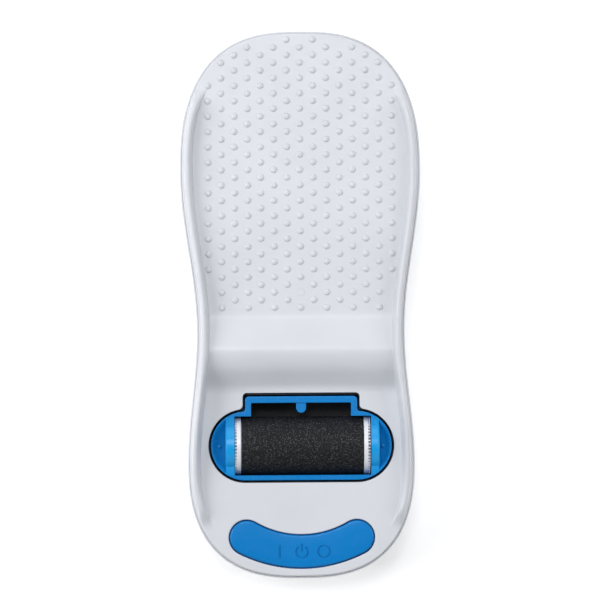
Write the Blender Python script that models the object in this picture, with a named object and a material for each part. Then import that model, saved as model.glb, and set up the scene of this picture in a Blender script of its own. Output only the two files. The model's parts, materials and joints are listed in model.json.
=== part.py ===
"""Step-on electric callus remover: a foot-shaped floor unit with a powered abrasive roller under the heel.

Metres, +Z up, +Y towards the toes, +X to the right of the standing user. The origin is on the floor,
below the middle of the body.
"""
import math

import bmesh
import bpy
from mathutils import Vector

MM = 0.001
GAP = 0.3 * MM

# ---- outline of the body, seen from above ------------------------------------------------------------
HALF_LENGTH = 136.5 * MM
TOE_WIDE_Y = 67.5 * MM
TOE_HALF_WIDTH = 60.0 * MM
WAIST_Y = -13.0 * MM
WAIST_HALF_WIDTH = 52.0 * MM
HEEL_WIDE_Y = -79.0 * MM
HEEL_HALF_WIDTH = 56.75 * MM
CAP_LONG_POWER = 2.4
CAP_WIDE_POWER = 2.7

# ---- heights -----------------------------------------------------------------------------------------
FOOT_HEIGHT = 2.7 * MM
BOTTOM_Z = 3.0 * MM
BOTTOM_INSIDE_Z = 5.2 * MM
SEAM_Z = 19.85 * MM
DECK_Z = 32.0 * MM
TREAD_Z = 38.0 * MM
CREST_Z = 42.0 * MM
WALL = 2.2 * MM

# ---- footbed profile along Y: sections from the flat tread, over the arch hump, to the flat deck ----------
TREAD_END_Y = -4.0 * MM
RISE_FILLET = 3.5 * MM
RISE_RUN = 12.0 * MM
CREST_FILLET = 2.5 * MM
FALL_EASE = 12.0 * MM
FALL_RUN = 5.5 * MM
FALL_FILLET = 4.0 * MM
RISE_SLOPE = (CREST_Z - TREAD_Z) / (RISE_FILLET / 2 + RISE_RUN + CREST_FILLET / 2)
FALL_SLOPE = (CREST_Z - DECK_Z) / (FALL_EASE / 2 + FALL_RUN + FALL_FILLET / 2)
# Length of each section, and the slope at its heel end.
FOOTBED = ((RISE_FILLET, RISE_SLOPE), (RISE_RUN, RISE_SLOPE), (CREST_FILLET, 0.0), (FALL_EASE, -FALL_SLOPE),
           (FALL_RUN, -FALL_SLOPE), (FALL_FILLET, 0.0))

# ---- side rims: (Y, height) stations, and the stretches where the rim grows out of the deck ------------
RIM_STATIONS = ((137 * MM, 44 * MM), (60 * MM, 44 * MM), (-15 * MM, 46 * MM), (-45 * MM, 45 * MM),
                (-104 * MM, 36.5 * MM), (-137 * MM, 33 * MM))
RIM_TOE_START, RIM_TOE_FULL = 108.5 * MM, 96.0 * MM
RIM_HEEL_START, RIM_HEEL_FULL = -111.0 * MM, -101.0 * MM
SHOULDER_HIGH_Y, SHOULDER_LOW_Y = 70 * MM, -45 * MM

# ---- roller and cartridge ------------------------------------------------------------------------------
ROLLER_Y = -70.2 * MM
ROLLER_Z = 22.5 * MM
ROLLER_RADIUS = 14.5 * MM
SLEEVE_LENGTH = 60.8 * MM
SLEEVE_THICKNESS = 1.2 * MM
CORE_WALL = 1.8 * MM
RING_OUTER_X = 33.9 * MM
RING_TOOTH_X = 32.85 * MM
AXLE_RADIUS = 2.0 * MM
AXLE_HALF_LENGTH = 41.0 * MM
BUSH_RADIUS = 3.7 * MM
BUSH_X = (34.9 * MM, 39.4 * MM)
BUSH_BORE_X = (30.0 * MM, 39.8 * MM, 41.6 * MM)

FRAME_RADIUS = 17.2 * MM
FRAME_HALF_LENGTH = 45.2 * MM
FRAME_NECK_HALF = 28.0 * MM
FRAME_NECK_TOP_Y = -45.5 * MM
FRAME_TOP_Z = 32.3 * MM
FRAME_BOTTOM_Z = 12.0 * MM
BAY_HALF_LENGTH = 34.5 * MM
BAY_TOE_Y = -55.4 * MM
BAY_HEEL_Y = -84.95 * MM
DUST_HALF_WIDTH = 25.0 * MM
DUST_TOE_Y = -48.8 * MM
CHEEK_OUTER_X = 38.5 * MM
CHEEK_RADIUS = 14.2 * MM
POCKET_Z = 27.5 * MM
POCKET_RIM = 1.0 * MM
TONGUE_RADIUS = 2.5 * MM
TONGUE_REACH = 5.0 * MM
TONGUE_Z = (28.5 * MM, 31.6 * MM)
OPENING_GAP = 1.0 * MM
WELL_GAP = 0.8 * MM
WELL_WALL = 1.2 * MM
WELL_BOTTOM_Z = 5.6 * MM
WELL_TOP_Z = 29.5 * MM
LEDGE_X = (40.5 * MM, 46.5 * MM)
LEDGE_HALF_DEPTH = 5.0 * MM

# ---- gear train: all axes run along X --------------------------------------------------------------------
RING_TEETH, IDLER_TEETH, SMALL_TEETH, BIG_TEETH, PINION_TEETH = 52, 32, 12, 40, 12
RING_MODULE = 0.535 * MM
MOTOR_MODULE = 0.5 * MM
IDLER_ANGLE = math.radians(-17)
REDUCTION_Z = 19.0 * MM
MOTOR_Z = 21.5 * MM
IDLER_X = (-34.3 * MM, -33.15 * MM)
BIG_GEAR_X = (-37.3 * MM, -34.8 * MM)
PINION_X = (-37.5 * MM, -34.6 * MM)
INNER_PLATE_X = (-31.8 * MM, -30.3 * MM)
OUTER_PLATE_X = (-39.6 * MM, -38.1 * MM)
GEAR_AXLE_RADIUS = 1.0 * MM
GEAR_BORE_X = (-40.0 * MM, -20.0 * MM)
GEAR_SLOT_Y = (-58.0 * MM, -50.0 * MM)
GEAR_SLOT_TOP_Z = 26.0 * MM
SHAFT_X = (-37.8 * MM, -24.0 * MM)
PLATE_TOE_Y_BEYOND_MOTOR = 13.5 * MM
PLATE_HEEL_Y = -50.9 * MM
PLATE_BOTTOM_Z = 5.6 * MM
PLATE_TOP = ((-31.0 * MM, 33.0 * MM), (-42.0 * MM, 27.5 * MM), (PLATE_HEEL_Y, 25.0 * MM))
PLATE_SHAFT_HOLE_RADIUS = 3.5 * MM
SPACER_RADIUS = 2.2 * MM
SPACER_Z = (9.0 * MM, 29.5 * MM)
MOTOR_RADIUS = 12.0 * MM
MOTOR_X = (-30.0 * MM, 0.0)
MOTOR_CAP_LENGTH = 3.0 * MM
MOTOR_EDGE = 1.0 * MM
MOTOR_BEARING_RADIUS = 3.0 * MM
MOTOR_BEARING_DEPTH = 6.5 * MM
CRADLE_X = (-26.0 * MM, -4.0 * MM)
CRADLE_HALF_DEPTH = 10.0 * MM
CRADLE_TOP_Z = 14.0 * MM

# ---- power button ------------------------------------------------------------------------------------------
BUTTON_ARC_RADIUS = 57.1 * MM
BUTTON_MID_Y = -123.05 * MM
BUTTON_LOBE_X = 27.5 * MM
BUTTON_HALF_MIDDLE = 8.0 * MM
BUTTON_HALF_LOBE = 8.4 * MM
BUTTON_TOP_Z = 32.7 * MM
BUTTON_BOTTOM_Z = 24.0 * MM
BUTTON_CEILING_Z = 30.4 * MM
BUTTON_WALL = 1.8 * MM
BUTTON_EDGE = 0.5 * MM
BUTTON_SIDE_GAP = 0.65 * MM
FLANGE_Z = (28.0 * MM, 29.5 * MM)
FLANGE_REACH = 1.2 * MM
SPRING_X = 20.0 * MM
SPRING_POST_Z = 13.0 * MM
SPRING_POST_RADIUS = 4.5 * MM
BUTTON_SPRING_RADIUS = 3.2 * MM
BUTTON_SPRING_WIRE = 0.45 * MM
BUTTON_SPRING_TURNS = 5
SWITCH_Y = -122.0 * MM
SWITCH_HALF = 5.0 * MM
SWITCH_TOP_Z = 18.0 * MM
SWITCH_BORE_Z = 13.2 * MM
PLUNGER_RADIUS = 2.0 * MM
PLUNGER_BOTTOM_Z = 15.5 * MM
BOARD_HALF_WIDTH = 14.0 * MM
BOARD_Y = (SWITCH_Y - 5.5 * MM, SWITCH_Y + 7.0 * MM)
BOARD_Z = (8.0 * MM, 9.6 * MM)
BOARD_POST_X = 11.0 * MM
BOARD_POST_RADIUS = 2.5 * MM
SYMBOL_SPACING = 11.0 * MM
SYMBOL_DEPTH = 0.5 * MM
SYMBOL_LINE = 0.9 * MM
SYMBOL_RADIUS = 2.9 * MM

# ---- batteries ------------------------------------------------------------------------------------------
CELL_RADIUS = 7.1 * MM
CELL_LENGTH = 50.5 * MM
CELL_PITCH = 15.4 * MM
CELL_Z = 14.2 * MM
BOX_HALF_WIDTH = 33.0 * MM
BOX_Y = (27.0 * MM, 88.0 * MM)
BOX_WALL = 1.6 * MM
BOX_TOP_Z = 23.5 * MM
CELL_EDGE = 0.5 * MM
CELL_CAP_RADIUS = 2.6 * MM
CELL_CAP_LENGTH = 1.3 * MM
CONTACT_THICKNESS = 0.5 * MM
CONTACT_HALF_WIDTH = 30.0 * MM
CONTACT_Z = (8.0 * MM, 21.0 * MM)
CELL_SPRING_LENGTH = 4.5 * MM
CELL_SPRING_RADII = (4.6 * MM, 2.2 * MM)
CELL_SPRING_WIRE = 0.35 * MM
CELL_SPRING_TURNS = 2.5
DOOR_THICKNESS = 2.0 * MM
DOOR_GAP = 0.5 * MM
DOOR_HINGE_INSET = 1.5 * MM
GRIP_HALF_WIDTH = 9.0 * MM
LATCH_HALF_WIDTH = 6.0 * MM
LATCH_TOP = 2.7 * MM

# ---- fasteners and feet: places on both sides of the body ------------------------------------------------
SCREW_PLACES = ((44 * MM, 92 * MM), (44 * MM, 6 * MM), (44 * MM, -99 * MM))
PILLAR_TOP_Z = 14.0 * MM
PILLAR_RADIUS = 4.2 * MM
BOSS_RADIUS = 3.8 * MM
SCREW_TOP_Z = 20.5 * MM
SCREW_HEAD_Z = (3.6 * MM, 5.3 * MM)
SCREW_HEAD_RADIUS = 2.8 * MM
SCREW_SHANK_RADIUS = 1.3 * MM
SCREW_SEAT_Z = 5.6 * MM
SCREW_SLOT = 0.8 * MM
FOOT_PLACES = ((34 * MM, 108 * MM), (38 * MM, 20 * MM), (34 * MM, -108 * MM))
FOOT_RADIUS = 6.0 * MM
FOOT_EDGE = 0.6 * MM

# ---- wiring, and heights that cutters start or stop at, clear of the object ------------------------------
WIRE_RADIUS = 0.8 * MM
ABOVE_ALL_Z = 50.0 * MM
UNDER_DECK_Z = 26.0 * MM


# ======================================================================================================
# materials
# ======================================================================================================
def material(name, color, roughness=0.5, metallic=0.0):
    """A plain Principled material."""
    made = bpy.data.materials.new(name)
    made.use_nodes = True
    shader = made.node_tree.nodes["Principled BSDF"]
    shader.inputs["Base Color"].default_value = (*color, 1.0)
    shader.inputs["Roughness"].default_value = roughness
    shader.inputs["Metallic"].default_value = metallic
    return made


def make_materials():
    """One material for each kind of stuff in the object."""
    return {
        "white_plastic": material("white_plastic", (0.72, 0.735, 0.78), 0.38),
        "blue_plastic": material("blue_plastic", (0.01, 0.19, 0.56), 0.3),
        "black_plastic": material("black_plastic", (0.012, 0.013, 0.015), 0.45),
        "acetal": material("acetal", (0.78, 0.79, 0.84), 0.35),
        "grit": material("grit", (0.03, 0.032, 0.036), 0.85),
        "steel": material("steel", (0.55, 0.56, 0.58), 0.3, 1.0),
        "brass": material("brass", (0.62, 0.45, 0.2), 0.35, 1.0),
        "rubber": material("rubber", (0.05, 0.05, 0.055), 0.8),
        "cell_wrap": material("cell_wrap", (0.05, 0.06, 0.08), 0.35),
        "board": material("board", (0.02, 0.16, 0.06), 0.5),
        "red_wire": material("red_wire", (0.5, 0.02, 0.02), 0.45),
        "black_wire": material("black_wire", (0.02, 0.02, 0.02), 0.45),
    }


# ======================================================================================================
# small tools
# ======================================================================================================
def lerp(a, b, t):
    """Straight blend from a to b."""
    return a + (b - a) * t


def ease(t):
    """Cosine blend from 0 to 1, flat at both ends."""
    return 0.5 - 0.5 * math.cos(math.pi * min(1.0, max(0.0, t)))


def make_object(name, verts, faces, stuff=None, location=(0, 0, 0), smooth_angle=None):
    """A mesh object whose normals point out."""
    mesh = bpy.data.meshes.new(name)
    mesh.from_pydata([tuple(v) for v in verts], [], faces)
    work = bmesh.new()
    work.from_mesh(mesh)
    bmesh.ops.recalc_face_normals(work, faces=work.faces)
    work.to_mesh(mesh)
    work.free()
    if smooth_angle is not None:
        mesh.shade_smooth()
        mesh.set_sharp_from_angle(angle=math.radians(smooth_angle))
    made = bpy.data.objects.new(name, mesh)
    made.location = location
    if stuff is not None:
        mesh.materials.append(stuff)
    bpy.context.scene.collection.objects.link(made)
    return made


def helper(made):
    """Marks a cutter or filler, which isn't a piece of the object."""
    made.hide_render = True
    made.display_type = "WIRE"
    return made


def combine(target, tool, operation):
    """Cuts tool from target, or joins it on."""
    step = target.modifiers.new(f"{operation.lower()} {tool.name}", "BOOLEAN")
    step.operation = operation
    step.solver = "EXACT"
    step.object = helper(tool)
    return target


def cut(target, *tools):
    """Cuts each tool from target."""
    for tool in tools:
        combine(target, tool, "DIFFERENCE")
    return target


def join(target, *tools):
    """Joins each tool to target as one body."""
    for tool in tools:
        combine(target, tool, "UNION")
    return target


def prism(name, outline, low, high, stuff=None, location=(0, 0, 0), along="Z", bevel=0.0):
    """An outline pushed along an axis: (x, y) for Z, (y, z) for X."""
    place = {"Z": lambda p, h: (p[0], p[1], h), "X": lambda p, h: (h, p[0], p[1])}[along]
    count = len(outline)
    verts = [place(p, low) for p in outline] + [place(p, high) for p in outline]
    faces = [tuple(range(count)), tuple(range(count, 2 * count))]
    for i in range(count):
        j = (i + 1) % count
        faces.append((i, j, count + j, count + i))
    made = make_object(name, verts, faces, stuff, location)
    if bevel:
        step = made.modifiers.new("edge", "BEVEL")
        step.width = bevel
        step.segments = 1
        step.limit_method = "ANGLE"
        step.angle_limit = math.radians(50)
    return made


def box(name, low, high, stuff=None, location=(0, 0, 0), bevel=0.0):
    """A block between two corners."""
    outline = [(low[0], low[1]), (high[0], low[1]), (high[0], high[1]), (low[0], high[1])]
    return prism(name, outline, low[2], high[2], stuff, location, bevel=bevel)


def turned(name, profile, stuff=None, location=(0, 0, 0), along="X", segments=32, closed=False):
    """A profile of (distance along the axis, radius) turned about that axis.

    closed joins the last point to the first, as on a ring with a bore.
    """
    place = {
        "X": lambda a, r, t: (a, r * math.cos(t), r * math.sin(t)),
        "Y": lambda a, r, t: (r * math.cos(t), a, r * math.sin(t)),
        "Z": lambda a, r, t: (r * math.cos(t), r * math.sin(t), a),
    }[along]
    verts, rings = [], []
    for a, r in profile:
        if r == 0:
            rings.append([len(verts)] * segments)
            verts.append(place(a, 0, 0))
            continue
        rings.append(list(range(len(verts), len(verts) + segments)))
        verts.extend(place(a, r, 2 * math.pi * k / segments) for k in range(segments))
    pairs = list(zip(rings, rings[1:]))
    if closed:
        pairs.append((rings[-1], rings[0]))
    faces = []
    for one, two in pairs:
        for k in range(segments):
            n = (k + 1) % segments
            corners = [one[k], one[n], two[n], two[k]]
            face = [c for i, c in enumerate(corners) if c not in corners[:i]]
            if len(face) > 2:
                faces.append(tuple(face))
    return make_object(name, verts, faces, stuff, location, smooth_angle=35)


def rod(name, span, radius, stuff=None, location=(0, 0, 0), along="X", segments=16, chamfer=0.0):
    """A plain round bar between two places on its axis."""
    low, high = span
    profile = [(low, 0), (low, radius - chamfer), (low + chamfer, radius),
               (high - chamfer, radius), (high, radius - chamfer), (high, 0)]
    if not chamfer:
        profile = [(low, 0), (low, radius), (high, radius), (high, 0)]
    return turned(name, profile, stuff, location, along, segments)


def tube(name, span, inner, outer, stuff=None, location=(0, 0, 0), along="X", segments=16):
    """A round bar with a bore."""
    low, high = span
    profile = [(low, inner), (low, outer), (high, outer), (high, inner)]
    return turned(name, profile, stuff, location, along, segments, closed=True)


def gathered(name, pieces):
    """Several separate helper solids as one helper object."""
    verts, faces = [], []
    for piece in pieces:
        start = len(verts)
        verts.extend(piece.matrix_world @ v.co for v in piece.data.vertices)
        faces.extend(tuple(start + i for i in p.vertices) for p in piece.data.polygons)
        bpy.data.objects.remove(piece)
    return helper(make_object(name, verts, faces))


def arc(center, radius, start, end, steps):
    """Points on a circle from one angle to another, in degrees."""
    angles = [math.radians(lerp(start, end, i / steps)) for i in range(steps + 1)]
    return [(center[0] + radius * math.cos(a), center[1] + radius * math.sin(a)) for a in angles]


def empty(name, location):
    """An axis marker that carries the pieces turning or sliding with it."""
    made = bpy.data.objects.new(name, None)
    made.location = location
    bpy.context.scene.collection.objects.link(made)
    bpy.context.view_layer.update()
    return made


def attach(pieces, parent):
    """Hangs pieces on an empty, keeping their places."""
    for piece in pieces:
        piece.parent = parent


# ======================================================================================================
# body outline and footbed heights
# ======================================================================================================
def side_points():
    """Points down the right side from the toe tip to the heel tip: (half width, Y)."""
    points = []
    cap_steps = 10
    for i in range(cap_steps + 1):
        turn = math.pi / 2 * (1 - i / cap_steps)
        reach = math.sin(turn) ** (2 / CAP_LONG_POWER)
        width = TOE_HALF_WIDTH * max(0.0, math.cos(turn)) ** (2 / CAP_WIDE_POWER)
        points.append((width if i else 0.0, TOE_WIDE_Y + (HALF_LENGTH - TOE_WIDE_Y) * reach))
    for y in middle_stations():
        points.append((middle_half_width(y), y))
    for i in range(cap_steps + 1):
        turn = math.pi / 2 * i / cap_steps
        reach = math.sin(turn) ** (2 / CAP_LONG_POWER)
        width = HEEL_HALF_WIDTH * max(0.0, math.cos(turn)) ** (2 / CAP_WIDE_POWER)
        last = i == cap_steps
        points.append((0.0 if last else width, HEEL_WIDE_Y - (HALF_LENGTH + HEEL_WIDE_Y) * reach))
    return points


def middle_stations():
    """Y stations between the two widest places, closer together over the arch hump."""
    stations = []
    y = TOE_WIDE_Y
    while True:
        near_hump = -46 * MM < y < 2 * MM
        y -= 4.0 * MM if near_hump else 10.0 * MM
        if y < HEEL_WIDE_Y + 4 * MM:
            return stations
        stations.append(y)


def middle_half_width(y):
    """Half width between the widest places: a cosine down to the waist and back out."""
    if y > WAIST_Y:
        return lerp(TOE_HALF_WIDTH, WAIST_HALF_WIDTH, ease((TOE_WIDE_Y - y) / (TOE_WIDE_Y - WAIST_Y)))
    return lerp(HEEL_HALF_WIDTH, WAIST_HALF_WIDTH, ease((y - HEEL_WIDE_Y) / (WAIST_Y - HEEL_WIDE_Y)))


def inset_side(points, inset):
    """The right side moved in by inset, square to the outline."""
    moved = []
    for i, (x, y) in enumerate(points):
        before = points[i - 1] if i else (-points[1][0], points[1][1])
        after = points[i + 1] if i + 1 < len(points) else (-points[-2][0], points[-2][1])
        along = Vector((after[0] - before[0], after[1] - before[1])).normalized()
        outward = Vector((-along.y, along.x))
        if outward.dot(Vector((x, y))) < 0:
            outward = -outward
        new_x = x - outward.x * inset
        moved.append((0.0 if x == 0.0 else max(new_x, 0.0), y - outward.y * inset))
    return moved


def floor_height(y):
    """Height of the footbed: tread, slope up to the arch hump, fall to the heel deck."""
    height, slope = TREAD_Z, 0.0
    left = TREAD_END_Y - y
    for length, end_slope in FOOTBED:
        if left <= 0:
            break
        part = min(left, length)
        height += part * (slope + (end_slope - slope) * part / length / 2)
        slope = end_slope
        left -= part
    return height


def rim_height(y):
    """Height of the side rims' tops."""
    for (y0, z0), (y1, z1) in zip(RIM_STATIONS, RIM_STATIONS[1:]):
        if y >= y1:
            return lerp(z0, z1, ease((y0 - y) / (y0 - y1)))
    return RIM_STATIONS[-1][1]


def rim_share(y):
    """1 along the sides, fading to 0 where the rims sink into the deck at both ends."""
    toe = ease((RIM_TOE_START - y) / (RIM_TOE_START - RIM_TOE_FULL))
    heel = ease((y - RIM_HEEL_START) / (RIM_HEEL_FULL - RIM_HEEL_START))
    return toe * heel


def shoulder_height(y):
    """Height of the outer shoulder below the rims."""
    return lerp(TREAD_Z, DECK_Z, ease((SHOULDER_HIGH_Y - y) / (SHOULDER_HIGH_Y - SHOULDER_LOW_Y)))


# Each ring of the upper shell: inset, then its height with the rim and without it.
UPPER_RINGS = (
    (0.0, lambda s, r, f: SEAM_Z, lambda s, f: SEAM_Z),
    (0.6, lambda s, r, f: s - 0.8 * MM, lambda s, f: s - 0.8 * MM),
    (1.6, lambda s, r, f: s, lambda s, f: s),
    (2.0, lambda s, r, f: s, lambda s, f: f),
    (2.5, lambda s, r, f: r - 1.1 * MM, lambda s, f: f),
    (3.7, lambda s, r, f: r, lambda s, f: f),
    (4.9, lambda s, r, f: r - 1.2 * MM, lambda s, f: f),
    (6.3, lambda s, r, f: f + 0.5 * MM, lambda s, f: f),
    (7.0, lambda s, r, f: f, lambda s, f: f),
)
UPPER_INSIDE = (
    (2.2, lambda s, f: SEAM_Z),
    (2.5, lambda s, f: min(s, f) - 3.4 * MM),
    (3.8, lambda s, f: min(s, f) - WALL),
    (8.6, lambda s, f: f - WALL),
)
LOWER_OUTSIDE = ((0.35, SEAM_Z - GAP), (1.0, 10 * MM), (2.9, 4.4 * MM), (6.0, BOTTOM_Z))
LOWER_INSIDE = ((2.6, SEAM_Z - GAP), (3.5, 10 * MM), (7.0, BOTTOM_INSIDE_Z))


def upper_ring(points, inset, with_rim, without_rim):
    """One outside ring of the upper shell, right side only: (x, y, z)."""
    ring = []
    for x, y in inset_side(points, inset * MM):
        shoulder, rim, floor = shoulder_height(y), rim_height(y), floor_height(y)
        height = lerp(without_rim(shoulder, floor), with_rim(shoulder, rim, floor), rim_share(y))
        ring.append((x, y, height))
    return ring


def lofted_shell(name, outside, inside, stuff):
    """A closed shell from rings of right-side points, mirrored, with rungs across the last rings."""
    count = len(outside[0])
    verts, rings = [], []
    for side in outside + inside:
        right, left = [], []
        for i, (x, y, z) in enumerate(side):
            right.append(len(verts))
            verts.append((x, y, z))
            if i in (0, count - 1):
                left.append(right[-1])
                continue
            left.append(len(verts))
            verts.append((-x, y, z))
        rings.append((right, left))
    faces = []
    order = list(range(len(outside)))[::-1] + list(range(len(outside), len(rings)))
    for one, two in zip(order, order[1:]):
        for half in (0, 1):
            a, b = rings[one][half], rings[two][half]
            faces.extend((a[i], a[i + 1], b[i + 1], b[i]) for i in range(count - 1))
    for right, left in (rings[len(outside) - 1], rings[-1]):
        for i in range(count - 1):
            rung = [right[i], right[i + 1], left[i + 1], left[i]]
            face = [c for k, c in enumerate(rung) if c not in rung[:k]]
            if len(face) > 2:
                faces.append(tuple(face))
    return make_object(name, verts, faces, stuff, smooth_angle=40)


# ======================================================================================================
# outlines of the roller opening and the button
# ======================================================================================================
def cartridge_outline(grow, corner, blend=1.4 * MM):
    """Stadium with a square neck towards the toes, grown outwards.

    corner rounds the neck's outer corners, and blend eases the step where the neck meets the stadium.
    """
    radius = FRAME_RADIUS + grow
    center_x = FRAME_HALF_LENGTH - FRAME_RADIUS
    neck = FRAME_NECK_HALF + grow
    top = FRAME_NECK_TOP_Y + grow
    join_angle = math.degrees(math.acos(max(-1.0, min(1.0, (neck + blend - center_x) / radius))))
    right = arc((center_x, ROLLER_Y), radius, -90, join_angle, 12)
    right += [(neck, right[-1][1] + blend)]
    right += arc((neck - corner, top - corner), corner, 0, 90, 3)
    return right + [(-x, y) for x, y in reversed(right)]


def button_outline(grow):
    """A thick arc with round ends, grown outwards."""
    center = (0.0, BUTTON_MID_Y + BUTTON_ARC_RADIUS)
    swing = math.degrees(math.asin(BUTTON_LOBE_X / BUTTON_ARC_RADIUS))
    steps = 9
    lower, upper = [], []
    for i in range(steps + 1):
        angle = lerp(-swing, swing, i / steps)
        share = abs(angle / swing) ** 2
        half = lerp(BUTTON_HALF_MIDDLE, BUTTON_HALF_LOBE, share) + grow
        direction = math.radians(-90 + angle)
        ray = (math.cos(direction), math.sin(direction))
        lower.append((center[0] + ray[0] * (BUTTON_ARC_RADIUS + half),
                      center[1] + ray[1] * (BUTTON_ARC_RADIUS + half)))
        upper.append((center[0] + ray[0] * (BUTTON_ARC_RADIUS - half),
                      center[1] + ray[1] * (BUTTON_ARC_RADIUS - half)))
    lobe_y = center[1] - math.sqrt(BUTTON_ARC_RADIUS ** 2 - BUTTON_LOBE_X ** 2)
    round_radius = BUTTON_HALF_LOBE + grow
    right = arc((BUTTON_LOBE_X, lobe_y), round_radius, -90 + swing, 90 + swing, 7)[1:-1]
    left = arc((-BUTTON_LOBE_X, lobe_y), round_radius, 90 - swing, 270 - swing, 7)[1:-1]
    return lower + right + upper[::-1] + left


# ======================================================================================================
# the two casings
# ======================================================================================================
def both_sides(places):
    """Each place on the right, and its mirror on the left."""
    return [(side * x, y) for x, y in places for side in (1, -1)]


def make_top_shell(stuff):
    """White upper casing with footbed, rims, roller opening, button opening and screw bosses."""
    points = side_points()
    outside = [upper_ring(points, d, a, b) for d, a, b in UPPER_RINGS]
    inside = []
    for d, height in UPPER_INSIDE:
        side = inset_side(points, d * MM)
        inside.append([(x, y, height(shoulder_height(y), floor_height(y))) for x, y in side])
    shell = lofted_shell("top_shell", outside, inside, stuff["white_plastic"])
    boss_bottom = PILLAR_TOP_Z + GAP
    bosses, holes = [], []
    for x, y in both_sides(SCREW_PLACES):
        top = floor_height(y) - WALL + 1.0 * MM
        bosses.append(rod("boss", (boss_bottom, top), BOSS_RADIUS, location=(x, y, 0), along="Z"))
        holes.append(rod("boss_hole", (boss_bottom - 1 * MM, SCREW_TOP_Z + 0.5 * MM),
                         SCREW_SHANK_RADIUS + 0.4 * MM, location=(x, y, 0), along="Z", segments=10))
    bpy.context.view_layer.update()
    join(shell, gathered("upper_bosses", bosses))
    cut(shell, gathered("upper_boss_holes", holes))
    window = prism("window_cutter", cartridge_outline(OPENING_GAP, 2 * MM), UNDER_DECK_Z, ABOVE_ALL_Z)
    slot = prism("button_cutter", button_outline(BUTTON_SIDE_GAP), UNDER_DECK_Z, ABOVE_ALL_Z)
    cut(shell, window, slot)


def make_bottom_shell(stuff):
    """White lower casing with the battery opening, screw pillars and the posts inside."""
    points = side_points()

    def rings(table):
        return [[(x, y, z) for x, y in inset_side(points, d * MM)] for d, z in table]

    shell = lofted_shell("bottom_shell", rings(LOWER_OUTSIDE), rings(LOWER_INSIDE), stuff["white_plastic"])
    posts, holes = [], []
    root = BOTTOM_Z + 1.0 * MM
    below, above = BOTTOM_Z - 1 * MM, PILLAR_TOP_Z + 1 * MM
    head_hole, shank_hole = SCREW_HEAD_RADIUS + 0.4 * MM, SCREW_SHANK_RADIUS + 0.4 * MM
    hole_profile = [(below, 0), (below, head_hole), (SCREW_SEAT_Z, head_hole), (SCREW_SEAT_Z, shank_hole),
                    (above, shank_hole), (above, 0)]
    for x, y in both_sides(SCREW_PLACES):
        posts.append(rod("pillar", (root, PILLAR_TOP_Z), PILLAR_RADIUS, location=(x, y, 0), along="Z"))
        holes.append(turned("screw_hole", hole_profile, location=(x, y, 0), along="Z", segments=12))
    for x, y in both_sides([(SPRING_X, button_line_y(SPRING_X))]):
        posts.append(rod("spring_post", (root, SPRING_POST_Z), SPRING_POST_RADIUS, location=(x, y, 0),
                         along="Z"))
    for x, y in both_sides([(BOARD_POST_X, SWITCH_Y)]):
        posts.append(rod("board_post", (root, BOARD_Z[0] - GAP), BOARD_POST_RADIUS, location=(x, y, 0),
                         along="Z", segments=10))
    bpy.context.view_layer.update()
    join(shell, gathered("lower_posts", posts))
    holes.append(box("battery_opening", (-BOX_HALF_WIDTH + BOX_WALL, BOX_Y[0] + BOX_WALL, below),
                     (BOX_HALF_WIDTH - BOX_WALL, BOX_Y[1] - BOX_WALL, BOTTOM_INSIDE_Z + 1 * MM)))
    bpy.context.view_layer.update()
    cut(shell, gathered("lower_holes", holes))


def button_line_y(x):
    """Y of the button's middle line at x."""
    center_y = BUTTON_MID_Y + BUTTON_ARC_RADIUS
    return center_y - math.sqrt(BUTTON_ARC_RADIUS ** 2 - x * x)


def make_feet(stuff):
    """Six rubber feet under the lower casing."""
    for i, (x, y) in enumerate(both_sides(FOOT_PLACES), start=1):
        rod(f"rubber_foot_{i}", (0, FOOT_HEIGHT), FOOT_RADIUS, stuff["rubber"], (x, y, 0), "Z", 16, FOOT_EDGE)


def make_screws(stuff):
    """Six case screws, head down, through the lower pillars into the upper bosses."""
    head_low, head_high = SCREW_HEAD_Z
    edge = 0.5 * MM
    profile = [(head_low, 0), (head_low, SCREW_HEAD_RADIUS - edge), (head_low + edge, SCREW_HEAD_RADIUS),
               (head_high, SCREW_HEAD_RADIUS), (head_high, SCREW_SHANK_RADIUS),
               (SCREW_TOP_Z - 1 * MM, SCREW_SHANK_RADIUS), (SCREW_TOP_Z, 0)]
    slot_half, slot_depth = SCREW_SLOT / 2, 0.9 * MM
    for i, (x, y) in enumerate(both_sides(SCREW_PLACES), start=1):
        screw = turned(f"case_screw_{i}", profile, stuff["steel"], (x, y, 0), "Z", 10)
        cut(screw, box("driver_slot", (-4 * MM, -slot_half, head_low - 1 * MM),
                       (4 * MM, slot_half, head_low + slot_depth), location=(x, y, 0)))


# ======================================================================================================
# roller cartridge
# ======================================================================================================
def make_well(stuff):
    """Black dust well that the cartridge drops into, fixed under the opening."""
    outer = cartridge_outline(WELL_GAP + WELL_WALL, 2 * MM, 0.2 * MM)
    well = prism("roller_well", outer, WELL_BOTTOM_Z, WELL_TOP_Z, stuff["black_plastic"])
    inner = cartridge_outline(WELL_GAP, 1.5 * MM, 0.2 * MM)
    hollow = prism("well_hollow", inner, WELL_BOTTOM_Z + WELL_WALL, WELL_TOP_Z + 2 * MM)
    slot = box("well_gear_slot", (IDLER_X[0] - 0.5 * MM, GEAR_SLOT_Y[0], WELL_BOTTOM_Z + 0.4 * MM),
               (IDLER_X[1] + 0.5 * MM, GEAR_SLOT_Y[1], GEAR_SLOT_TOP_Z))
    cut(well, hollow)
    ledges = []
    for side in (-1, 1):
        x0, x1 = sorted(side * x for x in LEDGE_X)
        ledges.append(box("ledge", (x0, ROLLER_Y - LEDGE_HALF_DEPTH, WELL_BOTTOM_Z + WELL_WALL / 2),
                          (x1, ROLLER_Y + LEDGE_HALF_DEPTH, FRAME_BOTTOM_Z - GAP)))
    bpy.context.view_layer.update()
    join(well, gathered("well_ledges", ledges))
    cut(well, slot)


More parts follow.
